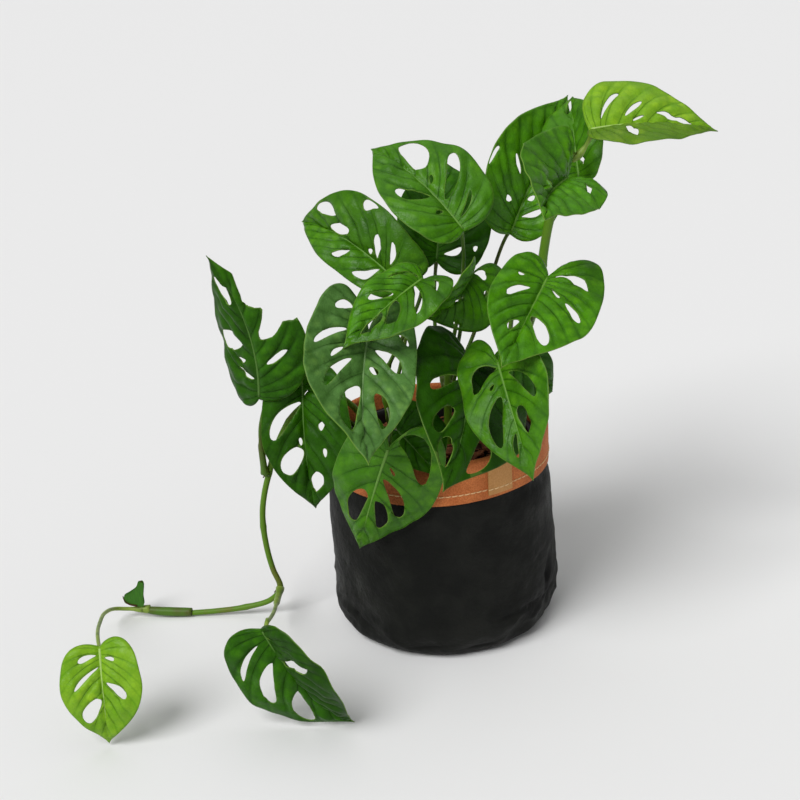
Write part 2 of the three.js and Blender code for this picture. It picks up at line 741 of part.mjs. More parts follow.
// Bends the flat blade: each half rises from the midrib and rounds off, and the midrib droops.
function bend(blade, x, y) {
  const { leaf, frame, length } = blade;
  const side = x >= 0 ? LEFT : RIGHT;
  const width = leaf.halves[side];
  const across = Math.abs(x) / width;
  const q = y / length;
  const fold = THREE.MathUtils.degToRad(leaf.fold);
  const ripple = leaf.wave * Math.sin(5 * Math.PI * q + (side === LEFT ? 1 : -1)) * across * across;
  const rise = Math.abs(x) * Math.sin(fold) - 0.5 * leaf.cup * across * across * width + ripple;
  const along = THREE.MathUtils.clamp(q, 0, 1);
  const sideways = x * Math.cos(fold) + 4 * leaf.bow * along * (1 - along);
  const radius = length / frame.droop;
  const angle = q * frame.droop;
  const forward = radius * Math.sin(angle) + rise * Math.sin(angle);
  const up = radius * (Math.cos(angle) - 1) + rise * Math.cos(angle);
  const half = frame.droop / 2;
  return frame.base
    .clone()
    .addScaledVector(frame.x, sideways)
    .addScaledVector(frame.y, forward * Math.cos(half) - up * Math.sin(half))
    .addScaledVector(frame.z, forward * Math.sin(half) + up * Math.cos(half));
}

function bladeNormal(blade, x, y) {
  const e = 0.05;
  const acrossBlade = bend(blade, x + e, y).sub(bend(blade, x - e, y));
  const alongBlade = bend(blade, x, y + e).sub(bend(blade, x, y - e));
  return acrossBlade.cross(alongBlade).normalize();
}

// A hole's outline in vein places: an egg that is widest towards the margin.
function holeOutline([, place, along, halfWidth, halfLength, lean], count) {
  const points = [];
  for (let i = 0; i < count; i += 1) {
    const angle = (2 * Math.PI * (i + 0.5)) / count;
    const egg = Math.cos(angle) * (1 + 0.25 * Math.sin(angle));
    points.push([
      (place + halfWidth * egg + lean * Math.sin(angle)) / 100,
      (along + halfLength * Math.sin(angle)) / 100,
    ]);
  }
  return points;
}

const LINE_STEPS = [0, 1 / 3, 2 / 3, 1]; // points on each side vein that divides the blade
const MARGIN_STEP = 0.07;

// Side veins that divide one half into strips, with every hole inside one strip.
function stripLines(holes) {
  const spans = holes
    .map((outline) => outline.map(([s]) => s))
    .map((places) => [Math.min(...places) - 0.008, Math.max(...places) + 0.008])
    .sort((a, b) => a[0] - b[0]);
  const merged = [];
  for (const span of spans) {
    const last = merged[merged.length - 1];
    if (last && span[0] < last[1]) last[1] = Math.max(last[1], span[1]);
    else merged.push([...span]);
  }
  const lines = [0];
  let reached = 0;
  for (const [from, to] of merged) {
    if (from - reached > 0.2) lines.push(from);
    else if (reached > 0) lines.push((from + reached) / 2);
    else lines.push(from);
    reached = to;
  }
  if (reached === 0) lines.push(0.25, 0.5, 0.75);
  else if (reached < 0.9) lines.push(reached);
  lines.push(1);
  return lines;
}

// Triangles of the flat blade, shared by both faces, as an index over flat points.
function flatTriangles(blade, leaf) {
  const points = [];
  const known = new Map();
  const index = (point) => {
    const key = point.x.toFixed(3) + "," + point.y.toFixed(3);
    if (!known.has(key)) {
      known.set(key, points.length);
      points.push(point);
    }
    return known.get(key);
  };
  const outlines = [LEFT, RIGHT].map((side) =>
    leaf.holes.filter((hole) => hole[0] === side).map((hole) => holeOutline(hole, hole[4] < 12 ? 6 : 8)),
  );
  const lines = outlines.map(stripLines);
  if (leaf.torn) {
    const whole = lines[leaf.torn.side].filter((s) => s < leaf.torn.edge[0][0] - 0.08);
    lines[leaf.torn.side] = [...whole, 1];
  }
  const midrib = [...new Set([...lines[LEFT], ...lines[RIGHT]])].sort((a, b) => a - b);
  const triangles = [];
  for (const side of [LEFT, RIGHT]) {
    const at = (s, v) => flatPoint(blade, side, s, v);
    for (let i = 0; i + 1 < lines[side].length; i += 1) {
      const [from, to] = [lines[side][i], lines[side][i + 1]];
      const tear = leaf.torn && leaf.torn.side === side && to === 1 ? leaf.torn.edge : null;
      const until = tear ? tear[0][0] : to;
      const ring = [];
      const push = (s, v) => {
        const id = index(at(s, v));
        if (ring[ring.length - 1] !== id && ring[0] !== id) ring.push(id);
      };
      for (const v of LINE_STEPS) push(from, v);
      const cuts = Math.max(1, Math.ceil((until - from) / MARGIN_STEP));
      for (let k = 1; k < cuts; k += 1) push(from + ((until - from) * k) / cuts, 1);
      if (tear) {
        for (const [s, v] of tear) push(s, v);
        push(1, 0);
      } else {
        for (const v of [...LINE_STEPS].reverse()) push(to, v);
      }
      for (const s of [...midrib].reverse()) if (s > from && s < to) push(s, 0);
      const inside = outlines[side].filter((outline) => outline[0][0] > from && outline[0][0] < to);
      const rings = inside.map((outline) => outline.map(([s, v]) => index(at(s, v))));
      const all = [...ring, ...rings.flat()];
      const contour = ring.map((id) => points[id]);
      const holes = rings.map((hole) => hole.map((id) => points[id]));
      for (const [a, b, c] of THREE.ShapeUtils.triangulateShape([...contour], holes.map((h) => [...h]))) {
        const ids = [all[a], all[b], all[c]];
        const [p, q, r] = ids.map((id) => points[id]);
        const area = (q.x - p.x) * (r.y - p.y) - (r.x - p.x) * (q.y - p.y);
        if (Math.abs(area) < 1e-7) continue;
        triangles.push(area > 0 ? ids : [ids[0], ids[2], ids[1]]);
      }
    }
  }
  return { points, triangles };
}

// The blade as a closed plate: the same triangles above and below, and a wall round every edge.
function bladeSolid(leaf) {
  const frame = bladeFrame(leaf);
  const margins = [LEFT, RIGHT].map((side) => marginCurves(leaf, frame.length, side));
  const blade = { leaf, frame, length: frame.length, margins };
  const { points, triangles } = flatTriangles(blade, leaf);
  const count = points.length;
  const positions = new Array(6 * count);
  points.forEach((point, i) => {
    const middle = bend(blade, point.x, point.y);
    const normal = bladeNormal(blade, point.x, point.y).multiplyScalar(BLADE_THICK / 2);
    const [upper, lower] = [middle.clone().add(normal), middle.clone().sub(normal)];
    upper.toArray(positions, 3 * i);
    lower.toArray(positions, 3 * (count + i));
  });
  const indices = [];
  const edges = new Set();
  for (const [a, b, c] of triangles) {
    indices.push(a, b, c, count + a, count + c, count + b);
    for (const [from, to] of [[a, b], [b, c], [c, a]]) edges.add(from + "," + to);
  }
  for (const edge of edges) {
    const [from, to] = edge.split(",").map(Number);
    if (edges.has(to + "," + from)) continue;
    indices.push(to, from, count + from, to, count + from, count + to);
  }
  return { blade, solid: solidFrom(positions, indices) };
}

// ---- leaf stalks --------------------------------------------------------

// Where a stalk starts: beside its stem, on the side that looks towards the blade.
function stalkFoot(stem, share, towards, guided) {
  const joint = stem.curve.getPointAt(share);
  const tangent = stem.curve.getTangentAt(share);
  const out = towards.clone().sub(joint);
  const lean = guided ? Math.abs(out.dot(tangent)) / out.length() : 0.75;
  out.addScaledVector(tangent, -out.dot(tangent)).normalize();
  const clear = stem.radius + GAP + lean * PETIOLE_RADIUS;
  return { start: joint.clone().addScaledVector(out, clear), out, tangent };
}

// The share of the vine's length at one of its joints.
function jointShare(place) {
  const lengths = vineCurve.getLengths(400);
  const joint = vector(VINE_POINTS[place]);
  let nearest = 0;
  let least = Infinity;
  lengths.forEach((_, i) => {
    const distance = vineCurve.getPoint(i / 400).distanceTo(joint);
    if (distance < least) {
      least = distance;
      nearest = lengths[i] / lengths[400];
    }
  });
  return nearest;
}

function stalkCurve(leaf, blade) {
  const { frame } = blade;
  const seat = bend(blade, 0, 0.05 * blade.length).addScaledVector(frame.z, -0.3);
  const stem = grown.find((each) => each.key === leaf.stem);
  const joints = { N1: JOINT_UPPER, N2: JOINT_LOWER };
  const share = typeof leaf.at === "number" ? leaf.at : jointShare(joints[leaf.at]);
  const guided = Boolean(leaf.by);
  const { start, out, tangent } = stalkFoot(stem, share, guided ? vector(leaf.by[0]) : seat, guided);
  const reach = start.distanceTo(seat);
  const rising = out.clone().multiplyScalar(0.55).addScaledVector(tangent, 0.83);
  const under = frame.z.clone().multiplyScalar(-0.9).addScaledVector(frame.y, -0.35);
  if (leaf.by) {
    const approach = seat.clone().addScaledVector(under, 9);
    return new THREE.CatmullRomCurve3([start, ...leaf.by.map(vector), approach, seat]);
  }
  return new THREE.CubicBezierCurve3(
    start,
    start.clone().addScaledVector(rising, 0.4 * reach),
    seat.clone().addScaledVector(under, 0.28 * reach),
    seat,
  );
}

// A blade joined to its stalk.
function wholeLeaf(leaf) {
  const { blade, solid } = bladeSolid(leaf);
  const path = leaf.stem === "tip" ? tipStalk(blade) : stalkCurve(leaf, blade);
  const steps = Math.max(5, Math.round(path.getLength() / 12));
  const joined = solid.add(rod(path, PETIOLE_RADIUS, PETIOLE_SIDES, steps));
  return leaf.stem === "tip" ? joined.add(rod(sheathCurve, SHEATH_RADIUS, STEM_SIDES, 3)) : joined;
}

function addLeaves() {
  for (const leaf of LEAVES) addPiece(leaf.name, wholeLeaf(leaf), leaf.colour, 0.45);
}

// ---- the growing tip of the vine ----------------------------------------

const VINE_END = VINE_POINTS[VINE_POINTS.length - 1];
const SHEATH_END = [-228, 9, 7];
const sheathStart = vector(VINE_END).add(new THREE.Vector3(-GAP - 0.2, 0, 0.8));
const sheathCurve = new THREE.LineCurve3(sheathStart, vector(SHEATH_END));

// The last stalk leaves its sheath, bends forward and lifts the blade.
function tipStalk(blade) {
  const seat = bend(blade, 0, 0.05 * blade.length).addScaledVector(blade.frame.z, -0.3);
  const points = [
    [-222, 9, 6.6], [-239, 9, 8], [-247, 3, 12], [-249, -20, 22], [-244, -60, 37], [-235, -108, 55],
  ];
  return new THREE.CatmullRomCurve3([...points.map(vector), seat]);
}

// A young leaf, still rolled up, standing on the end of the sheath.
function addShoot() {
  const outline = new THREE.Shape(SHOOT_OUTLINE.map(([x, z]) => new THREE.Vector2(x, z)));
  const puffed = new THREE.ExtrudeGeometry(outline, {
    depth: SHOOT_THICK - 2 * SHOOT_ROUND,
    bevelThickness: SHOOT_ROUND,
    bevelSize: SHOOT_ROUND,
    bevelOffset: -SHOOT_ROUND,
    bevelSegments: 2,
  });
  puffed.translate(0, 0, SHOOT_ROUND - SHOOT_THICK / 2);
  puffed.rotateX(Math.PI / 2);
  puffed.translate(SHOOT_FOOT[0], SHOOT_FOOT[1], SHEATH_END[2] + SHEATH_RADIUS + GAP);
  addPiece("new_shoot", solidOf(puffed), "#2f7a1c", 0.45);
}

addBag();
addLabel();
addNurseryPot();
addSoil();
addStems();
addLeaves();
addShoot();

export default plant;
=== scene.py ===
# %% [markdown]
# # A Swiss cheese plant in a paper planter bag
# The solid model gives every piece its place and size. This lesson gives the same pieces the detail that
# a solid can't carry: quilted leaves with sunken veins, a crumpled paper bag with a stitched cuff, bark on
# the soil. Each fine piece stands exactly where its solid stands, so we load the solids first.

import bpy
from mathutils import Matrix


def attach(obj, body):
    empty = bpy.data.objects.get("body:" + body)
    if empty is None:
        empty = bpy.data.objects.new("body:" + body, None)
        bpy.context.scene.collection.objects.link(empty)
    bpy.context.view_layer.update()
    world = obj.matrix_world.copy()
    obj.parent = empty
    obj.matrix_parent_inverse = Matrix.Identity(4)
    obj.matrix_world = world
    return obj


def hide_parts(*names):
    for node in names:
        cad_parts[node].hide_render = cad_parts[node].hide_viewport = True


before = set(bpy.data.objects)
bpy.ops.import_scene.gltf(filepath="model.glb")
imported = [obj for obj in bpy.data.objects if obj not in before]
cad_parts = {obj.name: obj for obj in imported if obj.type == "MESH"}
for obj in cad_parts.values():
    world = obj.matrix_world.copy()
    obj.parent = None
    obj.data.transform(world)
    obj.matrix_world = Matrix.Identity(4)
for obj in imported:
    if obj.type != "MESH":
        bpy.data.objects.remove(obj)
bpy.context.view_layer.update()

# %% [markdown]
# ## Shared helpers
# Lengths below are in millimetres, as a maker would measure them, and become metres when a mesh is made.
# A bmesh is Blender's editable mesh: we shape it with operators and then store it in an object.

# %% Helpers for meshes
import math
import random

import bmesh
import bpy
import numpy as np
from mathutils import Matrix, Vector, noise
from mathutils.geometry import delaunay_2d_cdt

MM = 0.001


def put_in_scene(name, data):
    """A new object in the scene that holds a mesh, a lamp or a camera."""
    thing = bpy.data.objects.new(name, data)
    bpy.context.scene.collection.objects.link(thing)
    return thing


def stored(name, bm):
    """Stores a bmesh as a mesh and frees it."""
    mesh = bpy.data.meshes.new(name)
    bm.to_mesh(mesh)
    bm.free()
    return mesh


def finish_piece(name, bm, materials, replaced=(), smooth=True):
    """Stores a bmesh given in millimetres as a finished piece of the plant."""
    bmesh.ops.scale(bm, vec=(MM, MM, MM), verts=bm.verts)
    for face in bm.faces:
        face.smooth = smooth
    mesh = stored(name, bm)
    for material in materials:
        mesh.materials.append(material)
    piece = put_in_scene(name, mesh)
    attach(piece, "root")
    if replaced:
        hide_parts(*replaced)
    print(name, len(mesh.polygons), "faces")


def ease(low, high, value):
    """0 below low, 1 above high, and smooth between them."""
    share = np.clip((value - low) / (high - low), 0.0, 1.0)
    return share * share * (3 - 2 * share)


def bell(value, width):
    """1 at 0, and falling away smoothly on both sides."""
    return math.exp(-((value / width) ** 2))


# %% [markdown]
# ## Node materials
# Every finish is procedural: noise and Voronoi textures read the object's own coordinates, so the grain
# keeps its real size on every piece. A small class adds each node with its inputs in one line, which keeps
# the node trees readable.

# %% Helpers for materials


def srgb(red, green, blue):
    """A screen colour, 0 to 255, as the linear colour that the shader wants."""
    linear = [((c / 255 + 0.055) / 1.055) ** 2.4 if c > 10 else c / 255 / 12.92 for c in (red, green, blue)]
    return (*linear, 1.0)


class Finish:
    """A node material with one Principled shader."""

    def __init__(self, name, colour, roughness, specular=0.5):
        self.material = bpy.data.materials.new(name)
        self.material.use_nodes = True
        self.tree = self.material.node_tree
        self.shader = self.tree.nodes["Principled BSDF"]
        self.feed(self.shader, {"Base Color": colour, "Roughness": roughness, "Specular IOR Level": specular})

    def feed(self, node, inputs):
        """Sets a node's inputs, each to a number, a colour or another node's output."""
        for key, value in inputs.items():
            if isinstance(value, bpy.types.NodeSocket):
                self.tree.links.new(value, node.inputs[key])
            elif value is not None:
                node.inputs[key].default_value = value

    def node(self, kind, inputs, **settings):
        """Adds a node with its settings and inputs."""
        node = self.tree.nodes.new("ShaderNode" + kind)
        for name, value in settings.items():
            setattr(node, name, value)
        self.feed(node, inputs)
        return node

    def place(self, scale=(1000, 1000, 1000)):
        """Object coordinates, in millimetres unless scaled otherwise."""
        here = self.node("TexCoord", {}).outputs["Object"]
        return self.node("Mapping", {"Vector": here, "Scale": scale}).outputs["Vector"]

    def noise(self, vector, scale, detail=3.0, rough=0.5):
        inputs = {"Vector": vector, "Scale": scale, "Detail": detail, "Roughness": rough}
        return self.node("TexNoise", inputs).outputs[0]

    def cells(self, vector, scale, feature="F1"):
        inputs = {"Vector": vector, "Scale": scale}
        return self.node("TexVoronoi", inputs, feature=feature).outputs["Distance"]

    def attribute(self, name):
        """A number stored on the mesh at every vertex."""
        return self.node("Attribute", {}, attribute_name=name).outputs["Fac"]

    def math(self, operation, first, second):
        return self.node("Math", {0: first, 1: second}, operation=operation).outputs[0]

    def times(self, first, second):
        return self.math("MULTIPLY", first, second)

    def between(self, value, low, high, start=0.0, end=1.0):
        """Maps low..high smoothly to start..end."""
        inputs = {"Value": value, "From Min": low, "From Max": high, "To Min": start, "To Max": end}
        return self.node("MapRange", inputs, interpolation_type="SMOOTHSTEP").outputs["Result"]

    def patches(self, vector, scale, low, high, detail=3.0, rough=0.5):
        """Soft patches: 0 where the noise is below low, 1 where it's above high."""
        return self.between(self.noise(vector, scale, detail, rough), low, high)

    def mix(self, share, first, second):
        """The first colour, or by a share the second. 6 and 7 are the node's two colour inputs."""
        return self.node("Mix", {0: share, 6: first, 7: second}, data_type="RGBA").outputs[2]

    def colour(self, value):
        self.feed(self.shader, {"Base Color": value})

    def roughness(self, value):
        self.feed(self.shader, {"Roughness": value})

    def bump(self, *layers):
        """Stacks bumps, each (height, depth in metres)."""
        normal = None
        for height, depth in layers:
            inputs = {"Distance": depth, "Strength": 1.0, "Height": height, "Normal": normal}
            normal = self.node("Bump", inputs).outputs["Normal"]
        self.feed(self.shader, {"Normal": normal})


def blotched(name, first, second, gloss, blotches, *grain, stretch=(1000, 1000, 1000), depth):
    """A material of two colours in blotches, with a grain.

    gloss is its roughness and specular level, blotches are the numbers that patches takes, and grain those
    that noise takes, for bumps of the given depth in metres.
    """
    finish = Finish(name, first, *gloss)
    finish.colour(finish.mix(finish.patches(finish.place(), *blotches), first, second))
    finish.bump((finish.noise(finish.place(stretch), *grain), depth))
    return finish.material


# %% [markdown]
# ## The viewpoint
# The plant is seen from a little above, from the front, with a moderately long lens, and the camera is
# rolled a few degrees. The camera's axes are built from those angles, so each number keeps its meaning.

# %% Camera
AIM = Vector((-0.025, 0, 0.167))
DISTANCE = 1.02
ELEVATION = math.radians(21.5)
ROLL = math.radians(-3.4)

looking = Vector((0, math.cos(ELEVATION), -math.sin(ELEVATION)))
level_right = Vector((1, 0, 0))
level_up = level_right.cross(looking)
camera_right = level_right * math.cos(ROLL) + level_up * math.sin(ROLL)
camera_up = camera_right.cross(looking)
camera_turn = Matrix((camera_right, camera_up, -looking)).transposed().to_4x4()

camera_data = bpy.data.cameras.new("camera")
camera_data.lens = 65
camera_data.sensor_width = 36
camera = put_in_scene("camera", camera_data)
camera.matrix_world = Matrix.Translation(AIM - looking * DISTANCE) @ camera_turn
bpy.context.scene.camera = camera
print("camera at", tuple(round(c, 3) for c in camera.location))

# %% [markdown]
# ## Floor and light
# A pale seamless floor and large soft lamps show a leaf's gloss without hard shadows. Sun lamps with a wide
# angle act like big softboxes far away, so the floor is lit evenly. The key stands high on the left, a weak
# fill on the right opens the shadows, a third lamp lights the leaves from above, and the world gives the
# rest.

# %% Floor and lamps
FLOOR_SIZE = 60.0  # metres from the middle to an edge, so that the edge is never seen
LAMPS = {  # where each shines from, its spread in degrees and its strength
    "key": ((-0.5, -0.62, 0.85), 34, 2.6),
    "fill": ((0.85, -0.3, 0.5), 70, 0.2),
    "top": ((0.1, 0.35, 1.0), 60, 0.45),
}
WORLD_STRENGTH = 0.24

floor_bm = bmesh.new()
bmesh.ops.create_grid(floor_bm, x_segments=1, y_segments=1, size=FLOOR_SIZE)
floor = put_in_scene("floor", stored("floor", floor_bm))
floor.data.materials.append(Finish("pale_floor", srgb(234, 234, 234), 0.95, 0.1).material)

for name, (source, spread, strength) in LAMPS.items():
    lamp = bpy.data.lights.new(name, "SUN")
    lamp.angle = math.radians(spread)
    lamp.energy = strength
    put_in_scene(name, lamp).rotation_euler = Vector(source).to_track_quat("Z", "Y").to_euler()

world = bpy.data.worlds.new("studio")
bpy.context.scene.world = world
world.use_nodes = True
backdrop = world.node_tree.nodes["Background"]
backdrop.inputs["Color"].default_value = (1, 1, 1, 1)
backdrop.inputs["Strength"].default_value = WORLD_STRENGTH
bpy.context.scene.view_settings.view_transform = "Standard"
print(len(LAMPS), "lamps")

# %% [markdown]
# ## How this plant builds a leaf
# Each blade is asymmetric: its halves differ in width and each reaches back past the stalk in a lobe. Side
# veins leave the midrib and arch to the margin, and the holes lie between them, so a leaf is easiest to
# describe by its veins: place s along the margin (0 at the lobe, 1 at the tip) and share v along the vein
# (0 at the midrib, 1 at the margin). A hole is an egg in those places.

# %% The leaf's numbers
LEFT, RIGHT = 0, 1  # the halves, left and right of the midrib when the tip points down
WIDEST = 0.36  # share of its length at which a blade is widest
FACING = np.array((0.0, -0.8, 0.6))  # leaves turn their faces to the light at the front


class Leaf:
    """One leaf. Lengths are in millimetres and angles in degrees.

    base, tip: the ends of its midrib. turn: its roll about the midrib. halves, lobes: each half's width and
    how far its lobe reaches back. droop, fold: how much the midrib bends and each half rises. bow, cup,
    wave: how far the midrib bows sideways, how much a half rounds off, and the height of its ripples.
    left, right: each half's holes, as the middle's s and v, the half width, the half length and the lean,
    all in percent. stem, at: the stem that bears the leaf, and where. tone: its colours. by: places its
    stalk passes. torn: the line of a tear. quilt: how strongly it bulges between its veins. shade: how much
    painted shade darkens each half.
    """

    def __init__(self, name, base, tip, turn, halves, lobes, droop, fold, bow, cup, wave, left, right,
                 stem, at, tone, by=None, torn=None, quilt=1.0, shade=(0, 0)):
        self.name, self.halves, self.lobes = name, halves, lobes
        self.bow, self.cup, self.wave, self.shade = bow, cup, wave, shade
        self.stem, self.at, self.tone, self.by, self.torn, self.quilt = stem, at, tone, by, torn, quilt
        self.holes = [(LEFT, *hole) for hole in left] + [(RIGHT, *hole) for hole in right]
        self.fold = math.radians(fold)
        self.droop = math.radians(droop)
        self.base = np.array(base, float)
        chord = np.array(tip, float) - self.base
        span = float(np.linalg.norm(chord))
        self.y = chord / span
        z = FACING - self.y * FACING.dot(self.y)
        z /= np.linalg.norm(z)
        x = np.cross(self.y, z)
        angle = math.radians(turn)
        self.z = z * math.cos(angle) + x * math.sin(angle)
        self.x = np.cross(self.y, self.z)
        self.length = span * (self.droop / 2) / math.sin(self.droop / 2)


